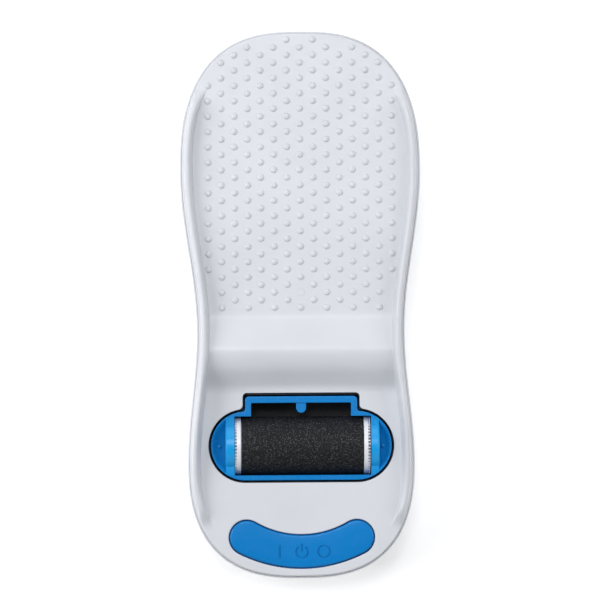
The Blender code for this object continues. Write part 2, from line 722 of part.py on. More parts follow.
def make_cartridge_frame(stuff, origin):
    """Blue frame that carries the roller and lifts out of the well."""
    frame = prism("cartridge_frame", cartridge_outline(0.0, 1.8 * MM), FRAME_BOTTOM_Z, FRAME_TOP_Z,
                  stuff["blue_plastic"])
    pocket = prism("pocket", cartridge_outline(-POCKET_RIM, 1 * MM), POCKET_Z, ABOVE_ALL_Z)
    reach = 2 * FRAME_RADIUS
    pocket_keep = box("pocket_keep", (-CHEEK_OUTER_X, ROLLER_Y - reach, POCKET_Z - 5 * MM),
                      (CHEEK_OUTER_X, ROLLER_Y + reach, ABOVE_ALL_Z + 5 * MM))
    cut(pocket, pocket_keep)
    cut(frame, pocket)
    cheeks = []
    for side in (-1, 1):
        span = sorted((side * (BAY_HALF_LENGTH - 1 * MM), side * CHEEK_OUTER_X))
        cheeks.append(rod("cheek", span, CHEEK_RADIUS, location=(0, ROLLER_Y, ROLLER_Z), segments=32))
    bpy.context.view_layer.update()
    cheek_pair = gathered("cheeks", cheeks)
    limits = prism("cheek_limit", cartridge_outline(-0.4 * MM, 1 * MM), FRAME_BOTTOM_Z + 1 * MM, ABOVE_ALL_Z)
    combine(cheek_pair, limits, "INTERSECT")
    join(frame, cheek_pair)
    bay = box("bay", (-BAY_HALF_LENGTH, BAY_HEEL_Y, 5 * MM), (BAY_HALF_LENGTH, BAY_TOE_Y, ABOVE_ALL_Z))
    dust = box("dust_opening", (-DUST_HALF_WIDTH, BAY_TOE_Y - 1 * MM, 5 * MM),
               (DUST_HALF_WIDTH, DUST_TOE_Y, ABOVE_ALL_Z))
    cut(frame, bay, dust)
    tongue_y = DUST_TOE_Y - TONGUE_REACH + TONGUE_RADIUS
    tongue = prism("tongue", [(TONGUE_RADIUS, DUST_TOE_Y + 1 * MM), (-TONGUE_RADIUS, DUST_TOE_Y + 1 * MM)]
                   + arc((0, tongue_y), TONGUE_RADIUS, 180, 360, 8), *TONGUE_Z)
    join(frame, tongue)
    bores = []
    for side in (-1, 1):
        inner, middle, outer = (side * x for x in BUSH_BORE_X)
        bore = [(inner, 0), (inner, BUSH_RADIUS + GAP), (middle, BUSH_RADIUS + GAP),
                (middle, AXLE_RADIUS + GAP), (outer, AXLE_RADIUS + GAP), (outer, 0)]
        bores.append(turned("bush_bore", bore, location=(0, ROLLER_Y, ROLLER_Z)))
    bpy.context.view_layer.update()
    cut(frame, gathered("bush_bores", bores))
    slot = box("frame_gear_slot", (IDLER_X[0] - 0.3 * MM, GEAR_SLOT_Y[0] + 1 * MM, 5 * MM),
               (IDLER_X[1] + 0.5 * MM, GEAR_SLOT_Y[1], GEAR_SLOT_TOP_Z))
    cut(frame, slot)
    attach([frame], origin)
    frame.location = -origin.location


def make_roller(stuff, cartridge_origin, roller_origin):
    """Abrasive roller on its axle: core, grit sleeve, toothed end rings, bushes."""
    half = SLEEVE_LENGTH / 2
    core_radius = ROLLER_RADIUS - SLEEVE_THICKNESS - GAP
    pieces = [
        tube("abrasive_sleeve", (-half, half), core_radius + GAP, ROLLER_RADIUS, stuff["grit"], segments=48),
        tube("roller_core", (-half, half), core_radius - CORE_WALL, core_radius, stuff["acetal"],
             segments=32),
    ]
    for side, label in ((-1, "left"), (1, "right")):
        pieces.append(make_end_ring(f"end_ring_{label}", side, half, stuff["acetal"]))
    attach(pieces, roller_origin)
    axle = rod("roller_axle", (-AXLE_HALF_LENGTH, AXLE_HALF_LENGTH), AXLE_RADIUS, stuff["steel"],
               segments=16, chamfer=0.4 * MM)
    attach([axle], cartridge_origin)
    for side, label in ((-1, "left"), (1, "right")):
        span = sorted(side * x for x in BUSH_X)
        bush = tube(f"bush_{label}", span, AXLE_RADIUS + GAP, BUSH_RADIUS, stuff["brass"], segments=16)
        attach([bush], cartridge_origin)


def make_end_ring(name, side, half, stuff):
    """White end ring of the roller: a smooth flange with fine teeth on its outer edge."""
    tip = RING_MODULE * (RING_TEETH / 2 + 1)
    ring = gear_blank(name, RING_TEETH, RING_MODULE, sorted((side * RING_TOOTH_X, side * RING_OUTER_X)),
                      stuff, mesh_phase_ring())
    flange_span = sorted((side * (half + GAP), side * (RING_TOOTH_X + 0.05 * MM)))
    flange = rod(f"{name}_flange", flange_span, tip, segments=36)
    bore = rod(f"{name}_bore", (-40 * MM, 40 * MM), AXLE_RADIUS + GAP, segments=16)
    join(ring, flange)
    cut(ring, bore)
    for tool in (flange, bore):
        tool.parent = ring
    return ring


# ======================================================================================================
# gears
# ======================================================================================================
def gear_points(teeth, module, phase):
    """Outline of a spur gear as (y, z), with one tooth centred on the phase angle."""
    pitch = 2 * math.pi / teeth
    tip, root = module * (teeth / 2 + 0.95), module * (teeth / 2 - 1.6)
    points = []
    for k in range(teeth):
        middle = phase + k * pitch
        for radius, share in ((tip, -0.05), (tip, 0.05), (root, 0.5)):
            angle = middle + share * pitch
            points.append((radius * math.cos(angle), radius * math.sin(angle)))
    return points


def gear_blank(name, teeth, module, span, stuff, phase, location=(0, 0, 0)):
    """A toothed disc about the X axis."""
    return prism(name, gear_points(teeth, module, phase), span[0], span[1], stuff, location, along="X")


def mating_phase(phase, teeth, other_teeth, direction):
    """Phase of the second gear so that its gap meets the first gear's tooth along direction."""
    first = (direction - phase) / (2 * math.pi / teeth)
    return direction + math.pi - (0.5 - first) * 2 * math.pi / other_teeth


def mesh_phase_ring():
    """The end rings have a tooth pointing straight at the drive gear."""
    return IDLER_ANGLE


def gear_places():
    """Axis places (Y, Z) and mesh directions of the train, from the roller to the motor."""
    first = RING_MODULE * (RING_TEETH + IDLER_TEETH) / 2
    idler = (ROLLER_Y + first * math.cos(IDLER_ANGLE), ROLLER_Z + first * math.sin(IDLER_ANGLE))
    second = RING_MODULE * (IDLER_TEETH + SMALL_TEETH) / 2
    lift = math.asin((REDUCTION_Z - idler[1]) / second)
    reduction = (idler[0] + second * math.cos(lift), REDUCTION_Z)
    third = MOTOR_MODULE * (BIG_TEETH + PINION_TEETH) / 2
    rise = math.asin((MOTOR_Z - REDUCTION_Z) / third)
    motor = (reduction[0] + third * math.cos(rise), MOTOR_Z)
    return {"idler": idler, "reduction": reduction, "motor": motor, "lift": lift, "rise": rise}


def make_gears(stuff, places):
    """Drive gear, compound reduction gear, motor pinion and their axles."""
    idler, reduction, motor = (places[k] for k in ("idler", "reduction", "motor"))
    bore_radius = GEAR_AXLE_RADIUS + GAP
    idler_phase = mating_phase(mesh_phase_ring(), RING_TEETH, IDLER_TEETH, IDLER_ANGLE)
    drive = gear_blank("drive_gear", IDLER_TEETH, RING_MODULE, IDLER_X, stuff["acetal"], idler_phase,
                       (0, *idler))
    cut(drive, rod("drive_bore", GEAR_BORE_X, bore_radius, location=(0, *idler)))

    small_phase = mating_phase(idler_phase, IDLER_TEETH, SMALL_TEETH, places["lift"])
    big = gear_blank("reduction_gear", BIG_TEETH, MOTOR_MODULE, BIG_GEAR_X, stuff["acetal"], small_phase,
                     (0, *reduction))
    small = gear_blank("reduction_small", SMALL_TEETH, RING_MODULE, (BIG_GEAR_X[1] - 0.4 * MM, IDLER_X[1]),
                       None, small_phase, (0, *reduction))
    join(big, small)
    cut(big, rod("reduction_bore", GEAR_BORE_X, bore_radius, location=(0, *reduction)))

    pinion_phase = mating_phase(small_phase, BIG_TEETH, PINION_TEETH, places["rise"])
    pinion = gear_blank("motor_pinion", PINION_TEETH, MOTOR_MODULE, PINION_X, stuff["brass"], pinion_phase,
                        (0, *motor))
    cut(pinion, rod("pinion_bore", GEAR_BORE_X, bore_radius, location=(0, *motor)))
    rod("motor_shaft", SHAFT_X, GEAR_AXLE_RADIUS, stuff["steel"], (0, *motor))
    for label, place in (("drive", idler), ("reduction", reduction)):
        rod(f"{label}_gear_axle", (OUTER_PLATE_X[0], INNER_PLATE_X[1]), GEAR_AXLE_RADIUS, stuff["steel"],
            (0, *place))


def make_motor(stuff, places):
    """Motor can with its plastic end cap, in a cradle."""
    y, z = places["motor"]
    back, front = MOTOR_X
    shaft_hole = GEAR_AXLE_RADIUS + GAP
    bearing_end = back + MOTOR_BEARING_DEPTH
    can_profile = [(back, shaft_hole), (back, MOTOR_RADIUS - MOTOR_EDGE), (back + MOTOR_EDGE, MOTOR_RADIUS),
                   (front, MOTOR_RADIUS), (front, MOTOR_BEARING_RADIUS), (bearing_end, MOTOR_BEARING_RADIUS),
                   (bearing_end, shaft_hole)]
    turned("motor_can", can_profile, stuff["steel"], (0, y, z), segments=28, closed=True)
    rod("motor_end_cap", (front + GAP, front + MOTOR_CAP_LENGTH), MOTOR_RADIUS - 0.6 * MM,
        stuff["black_plastic"], (0, y, z), segments=28, chamfer=0.5 * MM)
    cradle = box("motor_cradle", (CRADLE_X[0], y - CRADLE_HALF_DEPTH, BOTTOM_INSIDE_Z + GAP),
                 (CRADLE_X[1], y + CRADLE_HALF_DEPTH, CRADLE_TOP_Z), stuff["black_plastic"])
    cut(cradle, rod("cradle_seat", (-40 * MM, 10 * MM), MOTOR_RADIUS + GAP, location=(0, y, z), segments=28))


def make_gearbox_plates(stuff, places):
    """Two steel plates that hold the gear axles, and the spacers between them."""
    end_y = places["motor"][0] + PLATE_TOE_Y_BEYOND_MOTOR
    outline = [(PLATE_HEEL_Y, PLATE_BOTTOM_Z), (end_y, PLATE_BOTTOM_Z), (end_y, PLATE_TOP[0][1]), *PLATE_TOP]
    inner = prism("gearbox_plate_inner", outline, *INNER_PLATE_X, stuff["steel"], along="X")
    outer = prism("gearbox_plate_outer", outline, *OUTER_PLATE_X, stuff["steel"], along="X")
    axle_hole = GEAR_AXLE_RADIUS + GAP
    for plate, shaft_hole in ((inner, PLATE_SHAFT_HOLE_RADIUS), (outer, axle_hole)):
        for label, radius in (("idler", axle_hole), ("reduction", axle_hole), ("motor", shaft_hole)):
            cut(plate, rod(f"{plate.name}_{label}_hole", (-45 * MM, -25 * MM), radius,
                           location=(0, *places[label])))
    for i, z in enumerate(SPACER_Z, start=1):
        rod(f"gearbox_spacer_{i}", (OUTER_PLATE_X[1] + GAP, INNER_PLATE_X[0] - GAP), SPACER_RADIUS,
            stuff["brass"], (0, end_y - 4 * MM, z), segments=12)


# ======================================================================================================
# button and switch
# ======================================================================================================
def coil_spring(name, radii, span, turns, wire, stuff, location, along="Z"):
    """A round-wire coil as one closed tube; radii and span are at its low and its high end."""
    per_turn, sides = 8, 4
    steps = int(turns * per_turn)
    verts, faces = [], []
    for i in range(steps + 1):
        share = i / steps
        angle = 2 * math.pi * turns * share
        reach = lerp(*radii, share)
        height = lerp(span[0] + wire, span[1] - wire, share)
        for k in range(sides):
            turn = 2 * math.pi * k / sides
            r = reach + wire * math.cos(turn)
            point = (r * math.cos(angle), r * math.sin(angle), height + wire * math.sin(turn))
            verts.append(point if along == "Z" else (point[0], point[2], point[1]))
    for i in range(steps):
        for k in range(sides):
            n = (k + 1) % sides
            a, b = i * sides, (i + 1) * sides
            faces.append((a + k, a + n, b + n, b + k))
    faces.append(tuple(range(sides)))
    faces.append(tuple(steps * sides + k for k in range(sides)))
    return make_object(name, verts, faces, stuff, location, smooth_angle=50)


def make_button(stuff, origin):
    """Blue crescent button: a cap with a holding flange below the casing."""
    button = prism("power_button", button_outline(0.0), BUTTON_BOTTOM_Z, BUTTON_TOP_Z, stuff["blue_plastic"],
                   bevel=BUTTON_EDGE)
    flange = prism("button_flange", button_outline(FLANGE_REACH), *FLANGE_Z)
    hollow = prism("button_hollow", button_outline(-BUTTON_WALL), BUTTON_BOTTOM_Z - 2 * MM, BUTTON_CEILING_Z)
    join(button, flange)
    cut(button, hollow)
    for x, glyph in ((-SYMBOL_SPACING, "bar"), (0.0, "standby"), (SYMBOL_SPACING, "ring")):
        cut(button, engraved(glyph, x))
    plunger = rod("switch_plunger", (PLUNGER_BOTTOM_Z, BUTTON_CEILING_Z - GAP), PLUNGER_RADIUS,
                  stuff["acetal"], (0, SWITCH_Y, 0), "Z", 12)
    attach([button, plunger], origin)
    for piece in (button, plunger):
        piece.location = piece.location - origin.location


def engraved(glyph, x):
    """Generic power symbols: a bar, a ring, and a broken ring with a bar."""
    floor_z, top_z = BUTTON_TOP_Z - SYMBOL_DEPTH, BUTTON_TOP_Z + 2 * MM
    y, half = BUTTON_MID_Y, SYMBOL_LINE / 2
    outer, inner = SYMBOL_RADIUS, SYMBOL_RADIUS - SYMBOL_LINE
    if glyph == "bar":
        return box("symbol_bar", (x - half, y - outer, floor_z), (x + half, y + outer, top_z))
    if glyph == "ring":
        return tube("symbol_ring", (floor_z, top_z), inner, outer, location=(x, y, 0), along="Z", segments=14)
    bar = box("standby_bar", (x - half, y, floor_z), (x + half, y + outer + half, top_z))
    loop = arc((x, y), outer, 122, 418, 10) + arc((x, y), inner, 418, 122, 10)
    return gathered("symbol_standby", [bar, prism("standby_loop", loop, floor_z, top_z)])


def make_switch(stuff):
    """Latching push switch on its board, and the two return springs of the button."""
    box("switch_board", (-BOARD_HALF_WIDTH, BOARD_Y[0], BOARD_Z[0]),
        (BOARD_HALF_WIDTH, BOARD_Y[1], BOARD_Z[1]), stuff["board"])
    body = box("foot_switch", (-SWITCH_HALF, SWITCH_Y - SWITCH_HALF, BOARD_Z[1] + GAP),
               (SWITCH_HALF, SWITCH_Y + SWITCH_HALF, SWITCH_TOP_Z), stuff["black_plastic"], bevel=0.4 * MM)
    cut(body, rod("switch_bore", (SWITCH_BORE_Z, SWITCH_TOP_Z + 2 * MM), PLUNGER_RADIUS + 0.4 * MM,
                  location=(0, SWITCH_Y, 0), along="Z"))
    radii = (BUTTON_SPRING_RADIUS, BUTTON_SPRING_RADIUS)
    for x, label in ((-SPRING_X, "left"), (SPRING_X, "right")):
        coil_spring(f"button_spring_{label}", radii, (SPRING_POST_Z + GAP, BUTTON_CEILING_Z - GAP),
                    BUTTON_SPRING_TURNS, BUTTON_SPRING_WIRE, stuff["steel"], (x, button_line_y(x), 0))


# ======================================================================================================
# batteries
# ======================================================================================================
def make_battery_box(stuff):
    """Black box for the cells, open downwards, with its contact strips."""
    half = BOX_HALF_WIDTH
    holder = box("battery_box", (-half, BOX_Y[0], BOTTOM_INSIDE_Z + GAP), (half, BOX_Y[1], BOX_TOP_Z),
                 stuff["black_plastic"])
    hollow = box("battery_hollow", (-half + BOX_WALL, BOX_Y[0] + BOX_WALL, 0),
                 (half - BOX_WALL, BOX_Y[1] - BOX_WALL, BOX_TOP_Z - BOX_WALL))
    cut(holder, hollow)
    low = BOX_Y[0] + BOX_WALL + GAP
    high = BOX_Y[1] - BOX_WALL - GAP
    for label, y0, y1 in (("rear", low, low + CONTACT_THICKNESS), ("front", high - CONTACT_THICKNESS, high)):
        box(f"contact_strip_{label}", (-CONTACT_HALF_WIDTH, y0, CONTACT_Z[0]),
            (CONTACT_HALF_WIDTH, y1, CONTACT_Z[1]), stuff["steel"])
    return low + CONTACT_THICKNESS + GAP, high - CONTACT_THICKNESS - GAP


def make_cells(stuff, low, high):
    """Four AA cells side by side, every second one turned round, each with its contact spring."""
    start = CELL_SPRING_LENGTH + GAP
    body = CELL_LENGTH - CELL_CAP_LENGTH
    cell = [(0, 0), (0, CELL_RADIUS - CELL_EDGE), (CELL_EDGE, CELL_RADIUS), (body - CELL_EDGE, CELL_RADIUS),
            (body, CELL_RADIUS - CELL_EDGE), (body, CELL_CAP_RADIUS), (CELL_LENGTH, CELL_CAP_RADIUS),
            (CELL_LENGTH, 0)]
    for i in range(4):
        x = (i - 1.5) * CELL_PITCH
        flip = i % 2
        profile = [(high - start - a, r) if flip else (low + start + a, r) for a, r in cell]
        turned(f"battery_cell_{i + 1}", profile, stuff["cell_wrap"], (x, 0, CELL_Z), "Y", 16)
        span = (high - CELL_SPRING_LENGTH, high) if flip else (low, low + CELL_SPRING_LENGTH)
        radii = CELL_SPRING_RADII[::-1] if flip else CELL_SPRING_RADII
        coil_spring(f"cell_spring_{i + 1}", radii, span, CELL_SPRING_TURNS, CELL_SPRING_WIRE, stuff["steel"],
                    (x, 0, CELL_Z), "Y")


def make_battery_door(stuff, origin):
    """Door in the underside, turning about its toe-side edge, with its latch."""
    half_thick = DOOR_THICKNESS / 2
    far = BOX_Y[0] + BOX_WALL + DOOR_GAP - origin.location.y
    outline = [(far, -half_thick), (0, -half_thick)] + arc((0, 0), half_thick, -60, 60, 4)
    outline += [(0, half_thick), (far, half_thick)]
    half = BOX_HALF_WIDTH - BOX_WALL - DOOR_GAP
    door = prism("battery_door", outline, -half, half, stuff["white_plastic"], along="X")
    grip = box("door_grip", (-GRIP_HALF_WIDTH, far + 3 * MM, -DOOR_THICKNESS),
               (GRIP_HALF_WIDTH, far + 5 * MM, -half_thick / 2))
    cut(door, grip)
    grip.parent = door
    latch = box("door_latch", (-LATCH_HALF_WIDTH, far + 1 * MM, half_thick + GAP),
                (LATCH_HALF_WIDTH, far + 5 * MM, LATCH_TOP), stuff["black_plastic"])
    attach([door, latch], origin)


# ======================================================================================================
# wires
# ======================================================================================================
def wire(name, route, stuff):
    """A round wire along smooth points."""
    curve = bpy.data.curves.new(name, "CURVE")
    curve.dimensions = "3D"
    curve.bevel_depth = WIRE_RADIUS
    curve.bevel_resolution = 1
    curve.use_fill_caps = True
    spline = curve.splines.new("POLY")
    points = smooth_route(route, 2)
    spline.points.add(len(points) - 1)
    for point, place in zip(spline.points, points):
        point.co = (*place, 1.0)
    made = bpy.data.objects.new(name, curve)
    curve.materials.append(stuff)
    bpy.context.scene.collection.objects.link(made)


def smooth_route(route, steps):
    """Catmull-Rom points through the route."""
    places = [Vector(p) * MM for p in route]
    padded = [places[0] * 2 - places[1]] + places + [places[-1] * 2 - places[-2]]
    points = []
    for a, b, c, d in zip(padded, padded[1:], padded[2:], padded[3:]):
        for i in range(steps):
            t = i / steps
            points.append(0.5 * (2 * b + (c - a) * t + (2 * a - 5 * b + 4 * c - d) * t * t
                                 + (3 * b - a - 3 * c + d) * t ** 3))
    return points + [places[-1]]


def make_wires(stuff):
    """Leads clipped along the floor of the lower casing, in millimetres."""
    supply = [(34.4, 40, 9), (37, 33, 7.4), (38, 12, 7), (40, -12, 7), (45, -30, 8), (48.8, -50, 8),
              (50.2, -72, 8), (48.6, -84, 8), (43, -91, 8), (36.5, -98, 7.6), (31, -107, 7.4),
              (22, -111, 7.4), (13, -111.6, 8), (11, -114.5, 8.8)]
    motor = [(34.6, 52, 13), (36.5, 44, 10), (36, 12, 9), (30, -6, 9), (16, -20, 14), (4, -24, 18)]
    back = [(7, -114.5, 8.9), (9.5, -110, 9.6), (21, -109, 9.8), (31.5, -106, 9.8), (37, -97.5, 9.8),
            (43.5, -91.2, 10), (48.8, -84, 10), (50.4, -72, 10), (49, -50, 10), (43.5, -32, 10),
            (30, -27, 12), (14, -27, 18), (4, -27, 20.5)]
    wire("wire_battery_to_switch", supply, stuff["red_wire"])
    wire("wire_battery_to_motor", motor, stuff["black_wire"])
    wire("wire_switch_to_motor", back, stuff["red_wire"])


# ======================================================================================================
def main():
    """Builds every piece."""
    for old in list(bpy.data.objects):
        bpy.data.objects.remove(old)
    stuff = make_materials()
    cartridge_origin = empty("cartridge_origin", (0, ROLLER_Y, ROLLER_Z))
    roller_origin = empty("roller_origin", (0, 0, 0))
    roller_origin.parent = cartridge_origin
    button_origin = empty("button_origin", (0, SWITCH_Y, BUTTON_TOP_Z))
    door_origin = empty("door_origin", (0, BOX_Y[1] - BOX_WALL - DOOR_HINGE_INSET,
                                        BOTTOM_Z + DOOR_THICKNESS / 2))
    places = gear_places()
    make_top_shell(stuff)
    make_bottom_shell(stuff)
    make_feet(stuff)
    make_screws(stuff)
    make_well(stuff)
    make_cartridge_frame(stuff, cartridge_origin)
    make_roller(stuff, cartridge_origin, roller_origin)
    make_gears(stuff, places)
    make_motor(stuff, places)
    make_gearbox_plates(stuff, places)
    make_button(stuff, button_origin)
    make_switch(stuff)
    low, high = make_battery_box(stuff)
    make_cells(stuff, low, high)
    make_battery_door(stuff, door_origin)
    make_wires(stuff)


main()
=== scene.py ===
"""Looks of the step-on callus remover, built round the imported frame. Metres, +Z up, +Y towards the toes."""
import json
import math

import bmesh
import bpy
import numpy as np
from mathutils import Matrix, Vector


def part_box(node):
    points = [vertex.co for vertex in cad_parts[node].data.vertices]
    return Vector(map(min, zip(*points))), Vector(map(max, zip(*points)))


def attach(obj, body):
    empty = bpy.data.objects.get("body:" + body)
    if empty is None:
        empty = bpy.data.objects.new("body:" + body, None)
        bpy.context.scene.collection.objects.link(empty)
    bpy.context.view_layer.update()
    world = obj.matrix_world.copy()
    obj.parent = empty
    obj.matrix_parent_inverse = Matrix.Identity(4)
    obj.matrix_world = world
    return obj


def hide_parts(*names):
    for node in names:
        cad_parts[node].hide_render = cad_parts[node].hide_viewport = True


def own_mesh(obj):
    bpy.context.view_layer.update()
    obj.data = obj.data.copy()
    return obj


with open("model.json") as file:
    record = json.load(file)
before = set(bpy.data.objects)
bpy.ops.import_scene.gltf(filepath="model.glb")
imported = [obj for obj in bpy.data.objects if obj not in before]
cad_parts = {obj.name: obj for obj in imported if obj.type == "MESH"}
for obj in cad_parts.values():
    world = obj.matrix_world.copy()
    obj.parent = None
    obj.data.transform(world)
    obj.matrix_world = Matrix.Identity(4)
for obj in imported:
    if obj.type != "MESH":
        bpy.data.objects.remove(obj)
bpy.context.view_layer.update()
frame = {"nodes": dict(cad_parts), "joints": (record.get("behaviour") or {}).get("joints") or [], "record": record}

MM = 0.001
NODES = frame["nodes"]
JOINTS = {joint["name"]: joint for joint in frame["joints"]}
SLOT_OF = {row["node"]: row["material_slot"] for row in frame["record"]["subparts"]}

# ---- sizes read from the frame ----
TOP_LOW, TOP_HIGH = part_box("top_shell")
FRAME_LOW, FRAME_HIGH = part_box("cartridge_frame")
SLEEVE_LOW, SLEEVE_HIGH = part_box("abrasive_sleeve")
BUTTON_LOW, BUTTON_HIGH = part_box("power_button")
BOTTOM_LOW, BOTTOM_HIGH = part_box("bottom_shell")
DOOR_LOW, DOOR_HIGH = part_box("battery_door")

HALF_LENGTH = TOP_HIGH.y
TOE_HALF_WIDTH = TOP_HIGH.x
SEAM_Z = TOP_LOW.z if TOP_LOW.z > BOTTOM_HIGH.z else BOTTOM_HIGH.z + 0.3 * MM
SEAM_GAP = 0.3 * MM
ROLLER_Y = (SLEEVE_LOW.y + SLEEVE_HIGH.y) / 2
ROLLER_Z = (SLEEVE_LOW.z + SLEEVE_HIGH.z) / 2
ROLLER_RADIUS = (SLEEVE_HIGH.z - SLEEVE_LOW.z) / 2
SLEEVE_HALF = (SLEEVE_HIGH.x - SLEEVE_LOW.x) / 2
BUTTON_TOP_Z = BUTTON_HIGH.z

# ---- body outline and footbed, as in the design ----
TOE_WIDE_Y, WAIST_Y, HEEL_WIDE_Y = 67.5 * MM, -13.0 * MM, -79.0 * MM
WAIST_HALF_WIDTH, HEEL_HALF_WIDTH = 52.0 * MM, 56.75 * MM
CAP_LONG_POWER, CAP_WIDE_POWER = 2.4, 2.7
DECK_Z, TREAD_Z, CREST_Z = 32.0 * MM, 38.0 * MM, 42.0 * MM
WALL = 2.2 * MM
TREAD_END_Y = -4.0 * MM
RISE_FILLET, RISE_RUN, CREST_FILLET = 3.5 * MM, 12.7 * MM, 2.5 * MM
FALL_EASE, FALL_RUN, FALL_FILLET = 11.3 * MM, 5.5 * MM, 4.0 * MM
RISE_SLOPE = (CREST_Z - TREAD_Z) / (RISE_FILLET / 2 + RISE_RUN + CREST_FILLET / 2)
FALL_SLOPE = (CREST_Z - DECK_Z) / (FALL_EASE / 2 + FALL_RUN + FALL_FILLET / 2)
# Length of each section of the hump, and the slope at its heel end.
FOOTBED = ((RISE_FILLET, RISE_SLOPE), (RISE_RUN, RISE_SLOPE), (CREST_FILLET, 0.0), (FALL_EASE, -FALL_SLOPE),
           (FALL_RUN, -FALL_SLOPE), (FALL_FILLET, 0.0))
RIM_STATIONS = ((137 * MM, 44 * MM), (60 * MM, 44 * MM), (-15 * MM, 46 * MM), (-45 * MM, 45 * MM),
                (-104 * MM, 36.5 * MM), (-137 * MM, 33 * MM))
RIM_TOE_START, RIM_TOE_FULL = 108.5 * MM, 96.0 * MM
RIM_HEEL_START, RIM_HEEL_FULL = -111.0 * MM, -101.0 * MM
SHOULDER_HIGH_Y, SHOULDER_LOW_Y = 70 * MM, -45 * MM
FOOT_COUNT, SCREW_COUNT, CELL_COUNT = 6, 6, 4

# ---- studs on the tread ----
STUD_PITCH_X, STUD_PITCH_Y = 6.53 * MM, 3.812 * MM
STUD_FIRST_Y = -1.2 * MM
STUD_ROWS, STUD_COLUMNS = 36, 7
STUD_RADIUS, STUD_HEIGHT = 1.62 * MM, 0.85 * MM
GATE_ROW = 2

# ---- blue plastic ----
# The lighter blue is a painted highlight for the bearing cheeks, not a second moulded colour.
BLUE, CHEEK_HIGHLIGHT_BLUE = (0.004, 0.196, 0.55), (0.012, 0.33, 0.75)

# ---- cartridge and button outlines ----
FRAME_RADIUS = 17.2 * MM
FRAME_HALF_LENGTH = FRAME_HIGH.x
FRAME_NECK_HALF = 28.0 * MM
FRAME_NECK_TOP_Y = FRAME_HIGH.y
FRAME_TOP_Z = 32.3 * MM
FRAME_BOTTOM_Z = FRAME_LOW.z
BAY_HALF_LENGTH, BAY_TOE_Y, BAY_HEEL_Y = 34.3 * MM, -55.4 * MM, -84.95 * MM
BAY_LEFT_LENGTH = 33.9 * MM
BAY_CUT_LOW_Z, BAY_CUT_TOP_Z = 5 * MM, 45 * MM
BORE_X, BORE_RADIUS, AXLE_HOLE_RADIUS = (30.0 * MM, 38.8 * MM, 41.0 * MM), 4.0 * MM, 2.3 * MM
BOSS_X, BOSS_Z = 40.9 * MM, 29.8 * MM
EDGE_FLARE = 0.35 * MM
DUST_HALF_WIDTH, DUST_TOE_Y = 25.0 * MM, -48.8 * MM
CHEEK_OUTER_X, CHEEK_RADIUS = 38.5 * MM, 14.2 * MM
OPENING_GAP, NECK_GAP = 1.2 * MM, 1.7 * MM
# The roller, its cheeks and the bay sit this far to the right of the cartridge's middle.
ROLLER_SHIFT = 0.55 * MM
RING_TEETH, RING_TOOTH_X, RING_BORE = 52, 32.85 * MM, 2.3 * MM
FIRST_TOOTH_ANGLE = math.radians(-17)
BUTTON_ARC_RADIUS, BUTTON_MID_Y, BUTTON_LOBE_X = 57.1 * MM, -123.05 * MM, 27.5 * MM
BUTTON_HALF_MIDDLE, BUTTON_HALF_LOBE = 8.0 * MM, 8.4 * MM
BUTTON_GAP = 0.65 * MM


# ========================================
# small tools
# ========================================
def lerp(a, b, t):
    """Straight blend from a to b."""
    return a + (b - a) * t


def ease(t):
    """Cosine blend from 0 to 1, flat at both ends."""
    return 0.5 - 0.5 * math.cos(math.pi * min(1.0, max(0.0, t)))


def arc(center, radius, start, end, steps):
    """Points on a circle from one angle to another, in degrees."""
    angles = [math.radians(lerp(start, end, i / steps)) for i in range(steps + 1)]
    return [(center[0] + radius * math.cos(a), center[1] + radius * math.sin(a)) for a in angles]


def new_object(name, verts, faces, stuff=None, smooth=30):
    """A mesh object with its normals out; smooth is the angle above which an edge stays sharp."""
    mesh = bpy.data.meshes.new(name)
    mesh.from_pydata([tuple(v) for v in verts], [], faces)
    work = bmesh.new()
    work.from_mesh(mesh)
    bmesh.ops.recalc_face_normals(work, faces=work.faces)
    work.to_mesh(mesh)
    work.free()
    if smooth:
        mesh.shade_smooth()
        mesh.set_sharp_from_angle(angle=math.radians(smooth))
    made = bpy.data.objects.new(name, mesh)
    bpy.context.scene.collection.objects.link(made)
    if stuff:
        mesh.materials.append(stuff)
    return made


def loft(name, rings, stuff=None, smooth=30, caps=(True, True), closed=False):
    """Rings of equal point counts joined in turn; closed joins the last ring to the first."""
    count = len(rings[0])
    verts = [p for ring in rings for p in ring]
    pairs = [(i, i + 1) for i in range(len(rings) - 1)]
    if closed:
        pairs.append((len(rings) - 1, 0))
    faces = []
    for a, b in pairs:
        for i in range(count):
            j = (i + 1) % count
            faces.append((a * count + i, a * count + j, b * count + j, b * count + i))
    if caps[0] and not closed:
        faces.append(tuple(range(count)))
    if caps[1] and not closed:
        faces.append(tuple((len(rings) - 1) * count + i for i in range(count)))
    return new_object(name, verts, faces, stuff, smooth)


def at_height(outline, z):
    """An outline's points at one height."""
    return [(x, y, z) for x, y in outline]


def turned(name, profile, center=(0, 0, 0), along="Z", segments=48, stuff=None, smooth=30, closed=False):
    """A profile of (distance along the axis, radius) turned about that axis; radius 0 makes a pole."""
    place = {
        "X": lambda a, r, t: (center[0] + a, center[1] + r * math.cos(t), center[2] + r * math.sin(t)),
        "Y": lambda a, r, t: (center[0] + r * math.cos(t), center[1] + a, center[2] + r * math.sin(t)),
        "Z": lambda a, r, t: (center[0] + r * math.cos(t), center[1] + r * math.sin(t), center[2] + a),
    }[along]
    verts, rings = [], []
    for a, r in profile:
        if r == 0:
            rings.append([len(verts)] * segments)
            verts.append(place(a, 0, 0))
            continue
        rings.append(list(range(len(verts), len(verts) + segments)))
        verts.extend(place(a, r, 2 * math.pi * k / segments) for k in range(segments))
    pairs = list(zip(rings, rings[1:]))
    if closed:
        pairs.append((rings[-1], rings[0]))
    faces = []
    for one, two in pairs:
        for k in range(segments):
            n = (k + 1) % segments
            corners = [one[k], one[n], two[n], two[k]]
            face = [c for i, c in enumerate(corners) if c not in corners[:i]]
            if len(face) > 2:
                faces.append(tuple(face))
    return new_object(name, verts, faces, stuff, smooth)


